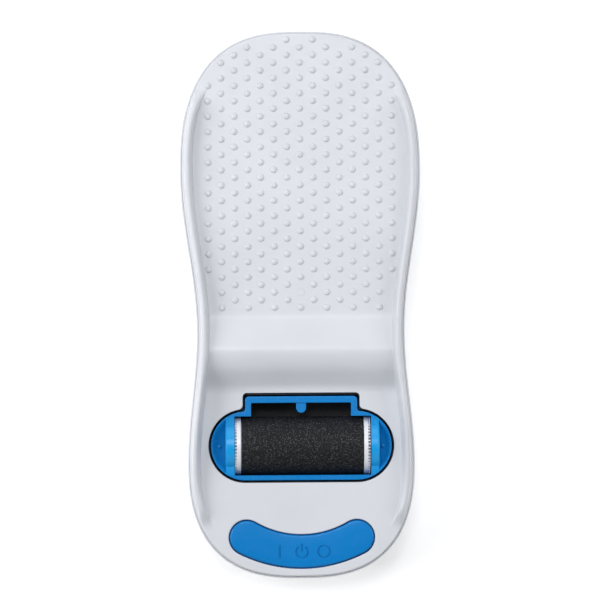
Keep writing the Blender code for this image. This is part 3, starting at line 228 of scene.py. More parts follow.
def boolean(target, tool, operation="DIFFERENCE"):
    """Cuts or joins tool and makes the result the target's own mesh."""
    step = target.modifiers.new("shape", "BOOLEAN")
    step.operation = operation
    step.solver = "EXACT"
    step.object = tool
    bpy.context.view_layer.update()
    depsgraph = bpy.context.evaluated_depsgraph_get()
    result = bpy.data.meshes.new_from_object(target.evaluated_get(depsgraph))
    target.modifiers.clear()
    target.data = result
    bpy.data.objects.remove(tool)
    return target


def finish_surface(piece, angle=38):
    """Smooth shading with sharp edges kept, and flat faces kept flat."""
    piece.data.shade_smooth()
    piece.data.set_sharp_from_angle(angle=math.radians(angle))
    step = piece.modifiers.new("flat faces", "WEIGHTED_NORMAL")
    step.keep_sharp = True
    step.weight = 100
    return piece


def place(piece, body, slot, *nodes):
    """Puts a finished piece on its body, in place of CAD nodes. The slot argument is not used."""
    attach(piece, body)
    if nodes:
        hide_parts(*nodes)
    return piece


def upright_axis(low, high):
    """Where the middle of a box stands on the ground plane."""
    return ((low.x + high.x) / 2, (low.y + high.y) / 2, 0)


def block(name, low, high):
    """A plain cutter block."""
    corners = [(low[0], low[1]), (high[0], low[1]), (high[0], high[1]), (low[0], high[1])]
    return loft(name, [at_height(corners, low[2]), at_height(corners, high[2])], smooth=0)


# ========================================
# materials
# ========================================
class Nodes:
    """Short hand for one material's node tree."""

    def __init__(self, name):
        self.material = bpy.data.materials.new(name)
        self.material.use_nodes = True
        self.tree = self.material.node_tree
        self.shader = self.tree.nodes["Principled BSDF"]
        self.coords = self.tree.nodes.new("ShaderNodeTexCoord").outputs["Object"]

    def add(self, kind, **inputs):
        node = self.tree.nodes.new(kind)
        for key, value in inputs.items():
            socket = node.inputs[key.replace("_", " ")]
            if isinstance(value, bpy.types.NodeSocket):
                self.tree.links.new(value, socket)
            else:
                socket.default_value = value
        return node

    def noise(self, size, detail=2.0, roughness=0.5):
        """Noise whose features are about size across."""
        return self.add("ShaderNodeTexNoise", Vector=self.coords, Scale=1 / size, Detail=detail,
                        Roughness=roughness).outputs["Fac"]

    def spread(self, value, low, high, out_low, out_high):
        """value from low..high onto out_low..out_high."""
        node = self.add("ShaderNodeMapRange", Value=value)
        for key, number in (("From Min", low), ("From Max", high), ("To Min", out_low), ("To Max", out_high)):
            node.inputs[key].default_value = number
        return node.outputs["Result"]

    def distance(self, value, center):
        """How far value is from center."""
        away = self.add("ShaderNodeMath")
        away.operation = "SUBTRACT"
        self.tree.links.new(value, away.inputs[0])
        away.inputs[1].default_value = center
        size = self.add("ShaderNodeMath")
        size.operation = "ABSOLUTE"
        self.tree.links.new(away.outputs[0], size.inputs[0])
        return size.outputs[0]

    def product(self, first, second):
        """The two values multiplied."""
        node = self.add("ShaderNodeMath")
        node.operation = "MULTIPLY"
        self.tree.links.new(first, node.inputs[0])
        self.tree.links.new(second, node.inputs[1])
        return node.outputs[0]

    def blend(self, share, first, second):
        """Colour between first and second by share."""
        node = self.tree.nodes.new("ShaderNodeMix")
        node.data_type = "RGBA"
        self.tree.links.new(share, node.inputs[0])
        for socket, value in ((node.inputs[6], first), (node.inputs[7], second)):
            if isinstance(value, bpy.types.NodeSocket):
                self.tree.links.new(value, socket)
            else:
                socket.default_value = (*value, 1.0)
        return node.outputs[2]

    def bump(self, height, distance, strength=1.0):
        """Surface relief of that depth."""
        node = self.add("ShaderNodeBump", Height=height, Distance=distance, Strength=strength)
        self.tree.links.new(node.outputs["Normal"], self.shader.inputs["Normal"])

    def set(self, **values):
        for key, value in values.items():
            socket = self.shader.inputs[key.replace("_", " ")]
            if isinstance(value, bpy.types.NodeSocket):
                self.tree.links.new(value, socket)
            else:
                socket.default_value = value


def shade(color, factor):
    """A colour made lighter or darker."""
    return tuple(min(1.0, c * factor) for c in color)


def moulded(name, color, roughness, grain=0.35 * MM, relief=0.006 * MM, variation=0.03, specular=0.5):
    """Moulded plastic: faint flow variation in colour and gloss, and a fine moulded grain."""
    made = Nodes(name)
    flow = made.noise(38 * MM, 3.0)
    made.set(Base_Color=made.blend(made.spread(flow, 0.3, 0.7, 0.0, 1.0), shade(color, 1 - variation),
                                   shade(color, 1 + variation)))
    made.set(Roughness=made.spread(made.noise(6 * MM, 4.0), 0.3, 0.7, roughness - 0.04, roughness + 0.04))
    made.set(Specular_IOR_Level=specular)
    made.bump(made.noise(grain, 2.0), relief)
    return made.material


def metal(name, color, roughness, direction=(1.0, 1.0, 1.0)):
    """Drawn or turned metal with fine marks along one direction."""
    made = Nodes(name)
    mapping = made.add("ShaderNodeMapping", Vector=made.coords)
    mapping.inputs["Scale"].default_value = direction
    marks = made.add("ShaderNodeTexNoise", Vector=mapping.outputs["Vector"], Scale=1 / (0.6 * MM), Detail=4.0)
    marks = marks.outputs["Fac"]
    made.set(Base_Color=made.blend(made.spread(marks, 0.3, 0.7, 0.0, 1.0), shade(color, 0.86), color))
    made.set(Roughness=made.spread(marks, 0.3, 0.7, roughness - 0.06, roughness + 0.1), Metallic=1.0)
    made.bump(marks, 0.004 * MM)
    return made.material


def blue_material():
    """Glossy blue plastic; the raised bearing cheeks carry a painted highlight: a lighter blue, brightest across
    their middle.
    """
    made = Nodes("blue_abs")
    flow = made.spread(made.noise(38 * MM, 3.0), 0.3, 0.7, 0.0, 1.0)
    body = made.blend(flow, shade(BLUE, 0.96), shade(BLUE, 1.04))
    # Mask of the painted highlight on the bearing cheeks: full inside their span, strongest across the middle,
    # fading towards the top and bottom.
    place_at = made.add("ShaderNodeSeparateXYZ", Vector=made.coords).outputs
    along = made.distance(place_at["X"], ROLLER_SHIFT)
    across = made.distance(place_at["Y"], ROLLER_Y)
    inside = made.spread(along, CHEEK_OUTER_X - 0.2 * MM, CHEEK_OUTER_X, 1.0, 0.0)
    middle = made.spread(across, 8 * MM, CHEEK_RADIUS + 0.4 * MM, 1.0, 0.35)
    limit = made.spread(across, CHEEK_RADIUS + 0.2 * MM, CHEEK_RADIUS + 0.6 * MM, 1.0, 0.0)
    cheek = made.product(made.product(inside, middle), limit)
    made.set(Base_Color=made.blend(cheek, body, CHEEK_HIGHLIGHT_BLUE), Specular_IOR_Level=0.25)
    made.set(Roughness=made.spread(made.noise(6 * MM, 4.0), 0.3, 0.7, 0.22, 0.3))
    made.bump(made.noise(0.35 * MM, 2.0), 0.003 * MM)
    return made.material


def grit_material():
    """Bonded mineral grit: dark grains, with a few random grains given a painted highlight as glints."""
    made = Nodes("bonded_grit")
    grain = made.add("ShaderNodeTexVoronoi", Vector=made.coords, Scale=1 / (0.3 * MM))
    coarse = made.noise(0.8 * MM, 3.0, 0.7)
    tone = made.blend(made.spread(coarse, 0.3, 0.72, 0.0, 1.0), (0.003, 0.0035, 0.0045),
                      (0.012, 0.013, 0.016))
    lit = made.add("ShaderNodeSeparateColor", Color=grain.outputs["Color"]).outputs["Red"]
    # Painted glints: a few random grains get a much lighter colour and lower roughness, standing in for grains
    # that catch the light.
    painted_glint = made.spread(lit, 0.85, 0.98, 0.0, 1.0)
    made.set(Base_Color=made.blend(painted_glint, tone, (0.1, 0.105, 0.115)))
    made.set(Roughness=made.spread(lit, 0.0, 1.0, 0.8, 0.5), Specular_IOR_Level=0.25)
    made.bump(grain.outputs["Distance"], 0.1 * MM, 0.7)
    return made.material


def make_materials():
    """A material for each slot of the record, and a few more."""
    return {
        "white_plastic": moulded("white_abs", (0.655, 0.677, 0.722), 0.36),
        "blue_plastic": blue_material(),
        "black_plastic": moulded("black_abs", (0.012, 0.013, 0.015), 0.5, 0.5 * MM, 0.02 * MM, 0.15),
        "acetal": moulded("white_acetal", (0.76, 0.775, 0.83), 0.3, 0.3 * MM, 0.003 * MM, 0.02),
        "grit": grit_material(),
        "steel": metal("plain_steel", (0.56, 0.57, 0.59), 0.3, (0.25, 1.0, 1.0)),
        "brass": metal("turned_brass", (0.66, 0.47, 0.2), 0.28, (1.0, 0.3, 0.3)),
        "rubber": moulded("foot_rubber", (0.035, 0.036, 0.04), 0.75, 0.25 * MM, 0.02 * MM, 0.2, 0.3),
        "cell_wrap": moulded("cell_sleeve", (0.07, 0.085, 0.12), 0.28, 0.8 * MM, 0.004 * MM, 0.1),
        "board": moulded("solder_mask", (0.015, 0.14, 0.05), 0.35, 0.9 * MM, 0.01 * MM, 0.15),
        "red_wire": moulded("red_pvc", (0.45, 0.015, 0.012), 0.35, 0.5 * MM, 0.004 * MM, 0.08),
        "black_wire": moulded("black_pvc", (0.015, 0.015, 0.016), 0.4, 0.5 * MM, 0.004 * MM, 0.1),
    }


# ========================================
# outlines and heights
# ========================================
def side_points(cap_steps, middle_step, hump_step):
    """Points down the right side from the toe tip to the heel tip: (half width, Y)."""
    points = []
    for i in range(cap_steps + 1):
        turn = math.pi / 2 * (1 - i / cap_steps)
        reach = math.sin(turn) ** (2 / CAP_LONG_POWER)
        width = TOE_HALF_WIDTH * max(0.0, math.cos(turn)) ** (2 / CAP_WIDE_POWER)
        points.append((width if i else 0.0, TOE_WIDE_Y + (HALF_LENGTH - TOE_WIDE_Y) * reach))
    y = TOE_WIDE_Y
    while True:
        y -= hump_step if -48 * MM < y < 2 * MM else middle_step
        if y < HEEL_WIDE_Y + middle_step / 2:
            break
        points.append((middle_half_width(y), y))
    for i in range(cap_steps + 1):
        turn = math.pi / 2 * i / cap_steps
        reach = math.sin(turn) ** (2 / CAP_LONG_POWER)
        width = HEEL_HALF_WIDTH * max(0.0, math.cos(turn)) ** (2 / CAP_WIDE_POWER)
        last = i == cap_steps
        points.append((0.0 if last else width, HEEL_WIDE_Y - (HALF_LENGTH + HEEL_WIDE_Y) * reach))
    return points


def middle_half_width(y):
    """Half width between the widest places: a cosine down to the waist and back out."""
    if y > WAIST_Y:
        return lerp(TOE_HALF_WIDTH, WAIST_HALF_WIDTH, ease((TOE_WIDE_Y - y) / (TOE_WIDE_Y - WAIST_Y)))
    return lerp(HEEL_HALF_WIDTH, WAIST_HALF_WIDTH, ease((y - HEEL_WIDE_Y) / (WAIST_Y - HEEL_WIDE_Y)))


def half_width(y):
    """Half width of the body at any Y."""
    if y > TOE_WIDE_Y:
        share = min(1.0, (y - TOE_WIDE_Y) / (HALF_LENGTH - TOE_WIDE_Y))
        return TOE_HALF_WIDTH * (1 - share ** CAP_LONG_POWER) ** (1 / CAP_WIDE_POWER)
    if y < HEEL_WIDE_Y:
        share = min(1.0, (HEEL_WIDE_Y - y) / (HALF_LENGTH + HEEL_WIDE_Y))
        return HEEL_HALF_WIDTH * (1 - share ** CAP_LONG_POWER) ** (1 / CAP_WIDE_POWER)
    return middle_half_width(y)


def inset_side(points, inset):
    """The right side moved in by inset, square to the outline."""
    moved = []
    for i, (x, y) in enumerate(points):
        before = points[i - 1] if i else (-points[1][0], points[1][1])
        after = points[i + 1] if i + 1 < len(points) else (-points[-2][0], points[-2][1])
        along = Vector((after[0] - before[0], after[1] - before[1])).normalized()
        outward = Vector((-along.y, along.x))
        if outward.dot(Vector((x, y))) < 0:
            outward = -outward
        new_x = x - outward.x * inset
        moved.append((0.0 if x == 0.0 else max(new_x, 0.0), y - outward.y * inset))
    return moved


def floor_height(y):
    """Height of the footbed: tread, slope up to the arch hump, fall to the heel deck."""
    height, slope = TREAD_Z, 0.0
    left = TREAD_END_Y - y
    for length, end_slope in FOOTBED:
        if left <= 0:
            break
        part = min(left, length)
        height += part * (slope + (end_slope - slope) * part / length / 2)
        slope = end_slope
        left -= part
    return height


def rim_height(y):
    """Height of the side rims' tops."""
    for (y0, z0), (y1, z1) in zip(RIM_STATIONS, RIM_STATIONS[1:]):
        if y >= y1:
            return lerp(z0, z1, ease((y0 - y) / (y0 - y1)))
    return RIM_STATIONS[-1][1]


def rim_share(y):
    """1 along the sides, fading to 0 where the rims sink into the deck at both ends."""
    toe = ease((RIM_TOE_START - y) / (RIM_TOE_START - RIM_TOE_FULL))
    heel = ease((y - RIM_HEEL_START) / (RIM_HEEL_FULL - RIM_HEEL_START))
    return toe * heel


def shoulder_height(y):
    """Height of the outer shoulder below the rims."""
    return lerp(TREAD_Z, DECK_Z, ease((SHOULDER_HIGH_Y - y) / (SHOULDER_HIGH_Y - SHOULDER_LOW_Y)))


def cartridge_outline(grow, corner, blend=1.4 * MM, steps=28):
    """Stadium with a square neck towards the toes, grown outwards, with rounded corners and inner corners."""
    radius = FRAME_RADIUS + grow
    center_x = FRAME_HALF_LENGTH - FRAME_RADIUS
    neck = FRAME_NECK_HALF + grow
    top = FRAME_NECK_TOP_Y + grow
    fillet_x = neck + blend
    reach = radius + blend
    join_angle = math.acos(min(1.0, (fillet_x - center_x) / reach))
    fillet_y = ROLLER_Y + reach * math.sin(join_angle)
    right = arc((center_x, ROLLER_Y), radius, -90, math.degrees(join_angle), steps)
    right += arc((fillet_x, fillet_y), blend, 180 + math.degrees(join_angle), 180, 6)[1:]
    right += arc((neck - corner, top - corner), corner, 0, 90, 6)
    return right + [(-x, y) for x, y in reversed(right)]


def button_outline(grow):
    """A thick arc with round ends, grown outwards."""
    center_y = BUTTON_MID_Y + BUTTON_ARC_RADIUS
    swing = math.degrees(math.asin(BUTTON_LOBE_X / BUTTON_ARC_RADIUS))
    steps = 32
    lower, upper = [], []
    for i in range(steps + 1):
        angle = lerp(-swing, swing, i / steps)
        half = lerp(BUTTON_HALF_MIDDLE, BUTTON_HALF_LOBE, (angle / swing) ** 2) + grow
        direction = math.radians(-90 + angle)
        for side, row in ((1, lower), (-1, upper)):
            reach = BUTTON_ARC_RADIUS + side * half
            row.append((reach * math.cos(direction), center_y + reach * math.sin(direction)))
    lobe_y = center_y - math.sqrt(BUTTON_ARC_RADIUS ** 2 - BUTTON_LOBE_X ** 2)
    end_radius = BUTTON_HALF_LOBE + grow
    right = arc((BUTTON_LOBE_X, lobe_y), end_radius, -90 + swing, 90 + swing, 20)[1:-1]
    left = arc((-BUTTON_LOBE_X, lobe_y), end_radius, 90 - swing, 270 - swing, 20)[1:-1]
    return lower + right + upper[::-1] + left


# ========================================
# casings
# ========================================
# Rings of the upper shell from the seam inwards: inset, what the height is counted from, and how far
# above it, all in mm. Where there is no rim, "edge" is its last number's share of the way from shoulder
# to floor. "wall" gives a share of the rim's height over the floor instead.
UPPER_RINGS = (
    (0.45, "seam", 0), (0.12, "seam", 0.12), (0.0, "seam", 0.5),
    (0.03, "shoulder", -4.0), (0.1, "shoulder", -3.2), (0.26, "shoulder", -2.88), (0.5, "shoulder", -2.74),
    (0.84, "shoulder", -2.7), (0.9, "shoulder", -3.1), (1.04, "shoulder", -3.1), (1.1, "shoulder", -2.6),
    (1.14, "shoulder", -1.0), (1.3, "shoulder", -0.42), (1.56, "shoulder", -0.1),
    (1.82, "edge", 0, 0.3), (1.98, "edge", 0.2, 0.8), (2.08, "step", 0.6),
    (2.36, "rim", -1.6), (2.5, "rim", -0.95), (2.78, "rim", -0.42), (3.15, "rim", -0.12), (3.6, "rim", 0),
    (3.95, "rim", 0),
    (4.35, "wall", 0.986), (4.75, "wall", 0.945), (5.15, "wall", 0.875), (5.5, "wall", 0.785),
    (5.8, "wall", 0.675), (6.05, "wall", 0.545), (6.25, "wall", 0.4), (6.4, "wall", 0.24),
    (6.5, "wall", 0.07), (6.62, "wall", 0), (7.6, "wall", 0),
)
UPPER_INSIDE = (
    (2.2, lambda s, f: SEAM_Z),
    (2.5, lambda s, f: min(s, f) - 3.4 * MM),
    (3.8, lambda s, f: min(s, f) - WALL),
    (8.6, lambda s, f: f - WALL),
)


def lofted_shell(name, outside, inside, stuff):
    """A closed shell from rings of right-side points, mirrored, with rungs across the last rings."""
    count = len(outside[0])
    verts, rings = [], []
    for side in outside + inside:
        right, left = [], []
        for i, (x, y, z) in enumerate(side):
            right.append(len(verts))
            verts.append((x, y, z))
            if i in (0, count - 1):
                left.append(right[-1])
                continue
            left.append(len(verts))
            verts.append((-x, y, z))
        rings.append((right, left))
    faces = []
    order = list(range(len(outside)))[::-1] + list(range(len(outside), len(rings)))
    for one, two in zip(order, order[1:]):
        for half in (0, 1):
            a, b = rings[one][half], rings[two][half]
            faces.extend((a[i], a[i + 1], b[i + 1], b[i]) for i in range(count - 1))
    for right, left in (rings[len(outside) - 1], rings[-1]):
        for i in range(count - 1):
            rung = [right[i], right[i + 1], left[i + 1], left[i]]
            face = [c for k, c in enumerate(rung) if c not in rung[:k]]
            if len(face) > 2:
                faces.append(tuple(face))
    return new_object(name, verts, faces, stuff)


def flared_cutter(name, outline_of, grow, low, top, flare, steps=5):
    """A cutter through a flat wall whose top edge it leaves rounded by the flare."""
    rings = [at_height(outline_of(grow), low)]
    for i in range(steps + 1):
        turn = math.pi / 2 * i / steps
        rings.append(at_height(outline_of(grow + flare * (1 - math.cos(turn))),
                               top - flare + flare * math.sin(turn)))
    rings.append(at_height(outline_of(grow + flare), top + 12 * MM))
    return loft(name, rings, smooth=0)


def opening_outline(grow):
    """Outline of the cartridge opening, with a wider gap along the top of the neck."""
    outline = cartridge_outline(grow, 2 * MM + grow - OPENING_GAP, 2.2 * MM)
    extra, start = NECK_GAP - OPENING_GAP, FRAME_NECK_TOP_Y - 6 * MM
    return [(x, y + extra * min(1.0, max(0.0, (y - start) / (6 * MM)))) for x, y in outline]


def ring_heights(y, kind, amount, share=0.0):
    """One ring's heights at one Y: where the rim stands, and where it has sunk into the deck."""
    shoulder, rim, floor = shoulder_height(y), rim_height(y), floor_height(y)
    return {
        "seam": (SEAM_Z + amount * MM, SEAM_Z + amount * MM),
        "shoulder": (shoulder + amount * MM, shoulder + amount * MM),
        "edge": (shoulder + amount * MM, lerp(shoulder, floor, share)),
        "step": (shoulder + amount * MM, floor),
        "rim": (rim + amount * MM, floor),
        "wall": (lerp(floor, rim, amount), floor),
    }[kind]


def make_top_shell(stuff):
    """Upper casing: footbed, rims, and the rounded openings for the cartridge and the button."""
    points = side_points(44, 2.6 * MM, 1.0 * MM)
    outside = []
    for inset, *height in UPPER_RINGS:
        ring = []
        for x, y in inset_side(points, inset * MM):
            with_rim, without_rim = ring_heights(y, *height)
            ring.append((x, y, lerp(without_rim, with_rim, rim_share(y))))
        outside.append(ring)
    inside = []
    for inset, height in UPPER_INSIDE:
        side = inset_side(points, inset * MM)
        inside.append([(x, y, height(shoulder_height(y), floor_height(y))) for x, y in side])
    shell = lofted_shell("footbed_shell", outside, inside, stuff["white_plastic"])
    boolean(shell, flared_cutter("opening", opening_outline, OPENING_GAP, 26 * MM, DECK_Z, EDGE_FLARE))
    boolean(shell, flared_cutter("slot", button_outline, BUTTON_GAP, 26 * MM, DECK_Z, 0.5 * MM))
    finish_surface(shell)
    return place(shell, "base", "white_plastic", "top_shell")


def stud_places():
    """Staggered studs on the tread, wherever a whole stud fits inside the rim or the toe edge."""
    for row in range(STUD_ROWS):
        y = STUD_FIRST_Y + row * STUD_PITCH_Y
        room = half_width(y + 2.5 * MM) - lerp(2.7 * MM, 9.2 * MM, rim_share(y))
        for column in range(-STUD_COLUMNS, STUD_COLUMNS + 1):
            x = column * STUD_PITCH_X
            if (column + row) % 2 == 0 and abs(x) <= room and (row, column) != (GATE_ROW, 0):
                yield x, y


def make_studs(stuff):
    """Domed studs with a small fillet at the foot, all as one piece on the tread."""
    segments, verts, faces = 20, [], []
    profile = [(STUD_RADIUS + 0.25 * MM, -0.12 * MM), (STUD_RADIUS + 0.1 * MM, 0.015 * MM),
               (STUD_RADIUS - 0.08 * MM, 0.1 * MM)]
    for turn in np.linspace(math.radians(18), math.radians(84), 6):
        profile.append(((STUD_RADIUS - 0.08 * MM) * math.cos(turn) * 1.03, STUD_HEIGHT * math.sin(turn)))
    for x, y in stud_places():
        start = len(verts)
        for r, z in profile:
            verts.extend((x + r * math.cos(2 * math.pi * k / segments),
                          y + r * math.sin(2 * math.pi * k / segments), TREAD_Z + z) for k in range(segments))
        for ring in range(len(profile) - 1):
            for k in range(segments):
                n = (k + 1) % segments
                a, b = start + ring * segments, start + (ring + 1) * segments
                faces.append((a + k, a + n, b + n, b + k))
        verts.append((x, y, TREAD_Z + STUD_HEIGHT))
        top = start + (len(profile) - 1) * segments
        faces.extend((top + k, top + (k + 1) % segments, len(verts) - 1) for k in range(segments))
        faces.append(tuple(start + k for k in range(segments)))
    studs = new_object("tread_studs", verts, faces, stuff["white_plastic"], 60)
    place(studs, "base", "white_plastic")
    y = STUD_FIRST_Y + GATE_ROW * STUD_PITCH_Y
    ring = [(-0.1 * MM, 1.55 * MM), (0.1 * MM, 1.6 * MM), (0.18 * MM, 1.75 * MM), (0.1 * MM, 1.95 * MM),
            (-0.1 * MM, 2.1 * MM)]
    gate = turned("gate_mark", ring, (0, y, TREAD_Z), stuff=stuff["white_plastic"], closed=True, smooth=60)
    place(gate, "base", "white_plastic")


def make_bottom_shell(stuff):
    """Lower casing: draughted wall, rounded underside, battery opening and screw wells."""
    points = side_points(44, 2.6 * MM, 2.0 * MM)
    outside = [(0.75, SEAM_Z - SEAM_GAP), (0.42, SEAM_Z - SEAM_GAP - 0.12 * MM),
               (0.35, SEAM_Z - SEAM_GAP - 0.5 * MM), (0.55, 14 * MM), (0.95, 10 * MM), (1.35, 7.4 * MM),
               (1.9, 5.6 * MM), (2.7, 4.2 * MM), (3.8, 3.35 * MM), (5.0, 3.05 * MM), (6.0, BOTTOM_LOW.z)]
    inside = [(2.6, SEAM_Z - SEAM_GAP), (3.5, 10 * MM), (7.0, 5.2 * MM)]

    def rings(table):
        return [[(x, y, z) for x, y in inset_side(points, d * MM)] for d, z in table]

    shell = lofted_shell("lower_casing", rings(outside), rings(inside), stuff["white_plastic"])
    clear = 0.5 * MM
    boolean(shell, block("door_opening", (DOOR_LOW.x - clear, DOOR_LOW.y - clear, 2 * MM),
                         (DOOR_HIGH.x + clear, DOOR_HIGH.y + clear, 6 * MM)))
    for i in range(1, SCREW_COUNT + 1):
        low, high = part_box(f"case_screw_{i}")
        center = upright_axis(low, high)
        profile = [(2 * MM, 0), (2 * MM, 3.6 * MM), (3 * MM, 3.6 * MM), (3.4 * MM, 3.2 * MM),
                   (5.6 * MM, 3.2 * MM), (5.6 * MM, 0)]
        boolean(shell, turned("screw_well", profile, center, segments=36))
    finish_surface(shell)
    return place(shell, "base", "white_plastic", "bottom_shell")


# ========================================
# roller cartridge
# ========================================
def bowl_cutter(name):
    """The dished end pockets: shallow at the rim, deeper towards the cheeks."""
    rings = []
    for grow, z in ((-8.5, 29.6), (-6.0, 29.8), (-4.2, 30.1), (-3.0, 30.5), (-2.2, 30.95), (-1.55, 31.5),
                    (-1.15, 31.85), (-0.8, 32.15), (-0.5, 32.31), (-0.5, 40)):
        rings.append(at_height(cartridge_outline(grow * MM, max(0.3 * MM, 1.8 * MM + grow * MM)), z * MM))
    made = loft(name, rings, smooth=0)
    return boolean(made, block("keep", (ROLLER_SHIFT - CHEEK_OUTER_X + 0.3 * MM, -100 * MM, 20 * MM),
                               (ROLLER_SHIFT + CHEEK_OUTER_X - 0.3 * MM, -40 * MM, 45 * MM)))


def rectangle(low, high, corner, steps=4):
    """Rounded rectangle outline."""
    points = []
    for cx, cy, start in ((high[0] - corner, high[1] - corner, 0), (low[0] + corner, high[1] - corner, 90),
                          (low[0] + corner, low[1] + corner, 180), (high[0] - corner, low[1] + corner, 270)):
        points += arc((cx, cy), corner, start, start + 90, steps)
    return points


def make_cartridge(stuff):
    """Blue frame: rounded walls, dished ends, arched cheeks over the roller's ends, dust slot and tab."""
    fillet = 0.45 * MM
    rings = [at_height(cartridge_outline(-0.3 * MM, 1.5 * MM), FRAME_BOTTOM_Z),
             at_height(cartridge_outline(0.0, 1.8 * MM), FRAME_BOTTOM_Z + 0.4 * MM)]
    for turn in np.linspace(0, math.pi / 2, 6):
        grow = -fillet * (1 - math.cos(turn))
        rings.append(at_height(cartridge_outline(grow, 1.8 * MM + grow),
                               FRAME_TOP_Z - fillet + fillet * math.sin(turn)))
    body = loft("cartridge_housing", rings, stuff["blue_plastic"])
    boolean(body, bowl_cutter("bowls"))
    for side in (-1, 1):
        inner = ROLLER_SHIFT + side * (BAY_HALF_LENGTH - 1 * MM)
        outer = ROLLER_SHIFT + side * CHEEK_OUTER_X
        crown = [(inner, 0), (inner, CHEEK_RADIUS)]
        for turn in np.linspace(0, math.pi / 2, 7):
            crown.append((outer - side * 0.8 * MM * (1 - math.sin(turn)),
                          CHEEK_RADIUS - 0.8 * MM * (1 - math.cos(turn))))
        crown.append((outer, 0))
        cheek = turned("cheek", crown, (0, ROLLER_Y, ROLLER_Z), "X", 120)
        inside = cartridge_outline(-0.5 * MM, 1.2 * MM)
        limit = loft("limit", [at_height(inside, FRAME_BOTTOM_Z + 1 * MM), at_height(inside, BAY_CUT_TOP_Z)])
        boolean(cheek, limit, "INTERSECT")
        boolean(body, cheek, "UNION")
    bay = rectangle((ROLLER_SHIFT - BAY_LEFT_LENGTH, BAY_HEEL_Y),
                    (ROLLER_SHIFT + BAY_HALF_LENGTH, BAY_TOE_Y), 0.4 * MM)
    boolean(body, loft("bay", [at_height(bay, BAY_CUT_LOW_Z), at_height(bay, BAY_CUT_TOP_Z)], smooth=0))
    dust_low, dust_high = (-DUST_HALF_WIDTH, BAY_TOE_Y - 3 * MM), (DUST_HALF_WIDTH, DUST_TOE_Y)
    boolean(body, flared_cutter("dust", lambda g: rectangle(
        (dust_low[0] - g, dust_low[1]), (dust_high[0] + g, dust_high[1] + g), 0.7 * MM), 0.0,
        BAY_CUT_LOW_Z, FRAME_TOP_Z, EDGE_FLARE, 4))
    for side in (-1, 1):
        inner, middle, outer = (side * x for x in BORE_X)
        bore = [(inner, 0), (inner, BORE_RADIUS), (middle, BORE_RADIUS), (middle, AXLE_HOLE_RADIUS),
                (outer, AXLE_HOLE_RADIUS), (outer, 0)]
        boolean(body, turned("bore", bore, (0, ROLLER_Y, ROLLER_Z), "X", 32))
    slot_low, slot_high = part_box("drive_gear")
    boolean(body, block("gear_slot", (slot_low.x - 0.3 * MM, BAY_TOE_Y - 2 * MM, BAY_CUT_LOW_Z),
                        (slot_high.x + 0.5 * MM, BAY_TOE_Y + 6 * MM, slot_high.z + 1.0 * MM)))
    finish_surface(body, 35)
    place(body, "cartridge", "blue_plastic", "cartridge_frame")
    make_tab(stuff)
    for side in (-1, 1):
        dome = [(-0.6 * MM, 0), (-0.6 * MM, 1.25 * MM), (0.35 * MM, 1.2 * MM), (0.75 * MM, 0.9 * MM),
                (0.95 * MM, 0.45 * MM), (1.0 * MM, 0)]
        label = "left" if side < 0 else "right"
        boss = turned(f"end_boss_{label}", dome, (side * BOSS_X, ROLLER_Y - 0.4 * MM, BOSS_Z), "Z", 28,
                      stuff["blue_plastic"])
        place(boss, "cartridge", "blue_plastic")


def make_tab(stuff):
    """The half-round finger tab in the dust slot."""
    radius, reach = 2.5 * MM, 5.0 * MM
    center_y = DUST_TOE_Y - reach + radius
    low, high = 28.5 * MM, 31.6 * MM

    def outline(grow):
        top = DUST_TOE_Y + 1.5 * MM
        half = radius + grow
        return [(half, top), (-half, top)] + arc((0, center_y), half, 180, 360, 18)

    rings = [at_height(outline(-0.3 * MM), low), at_height(outline(0.0), low + 0.3 * MM)]
    for turn in np.linspace(0, math.pi / 2, 5):
        rings.append(at_height(outline(-0.35 * MM * (1 - math.cos(turn))),
                               high - 0.35 * MM + 0.35 * MM * math.sin(turn)))
    tab = loft("finger_tab", rings, stuff["blue_plastic"])
    place(finish_surface(tab), "cartridge", "blue_plastic")


def make_sleeve(stuff):
    """Grit sleeve: a drum whose surface is broken by grains, with plain ends and bore."""
    around, along = 300, 190
    random = np.random.default_rng(7)
    coarse = random.random((along, around))
    grain = (coarse + np.roll(coarse, 1, 0) * 0.6 + np.roll(coarse, 1, 1) * 0.6) / 2.2
    depth = 0.2 * MM * (1 - grain) ** 1.4
    inner = ROLLER_RADIUS - 1.2 * MM
    verts = []
    for i in range(along):
        x = ROLLER_SHIFT + lerp(-SLEEVE_HALF, SLEEVE_HALF, i / (along - 1))
        for k in range(around):
            angle = 2 * math.pi * k / around
            r = ROLLER_RADIUS - depth[i, k]
            verts.append((x, ROLLER_Y + r * math.cos(angle), ROLLER_Z + r * math.sin(angle)))
    for x in (ROLLER_SHIFT + SLEEVE_HALF, ROLLER_SHIFT - SLEEVE_HALF):
        verts.extend((x, ROLLER_Y + inner * math.cos(2 * math.pi * k / around),
                      ROLLER_Z + inner * math.sin(2 * math.pi * k / around)) for k in range(around))
    faces = []
    for i in range(along + 2):
        j = (i + 1) % (along + 2)
        for k in range(around):
            n = (k + 1) % around
            faces.append((i * around + k, i * around + n, j * around + n, j * around + k))
    sleeve = new_object("grit_sleeve", verts, faces, stuff["grit"], 0)
    sleeve.data.shade_smooth()
    place(sleeve, "roller", "grit", "abrasive_sleeve")


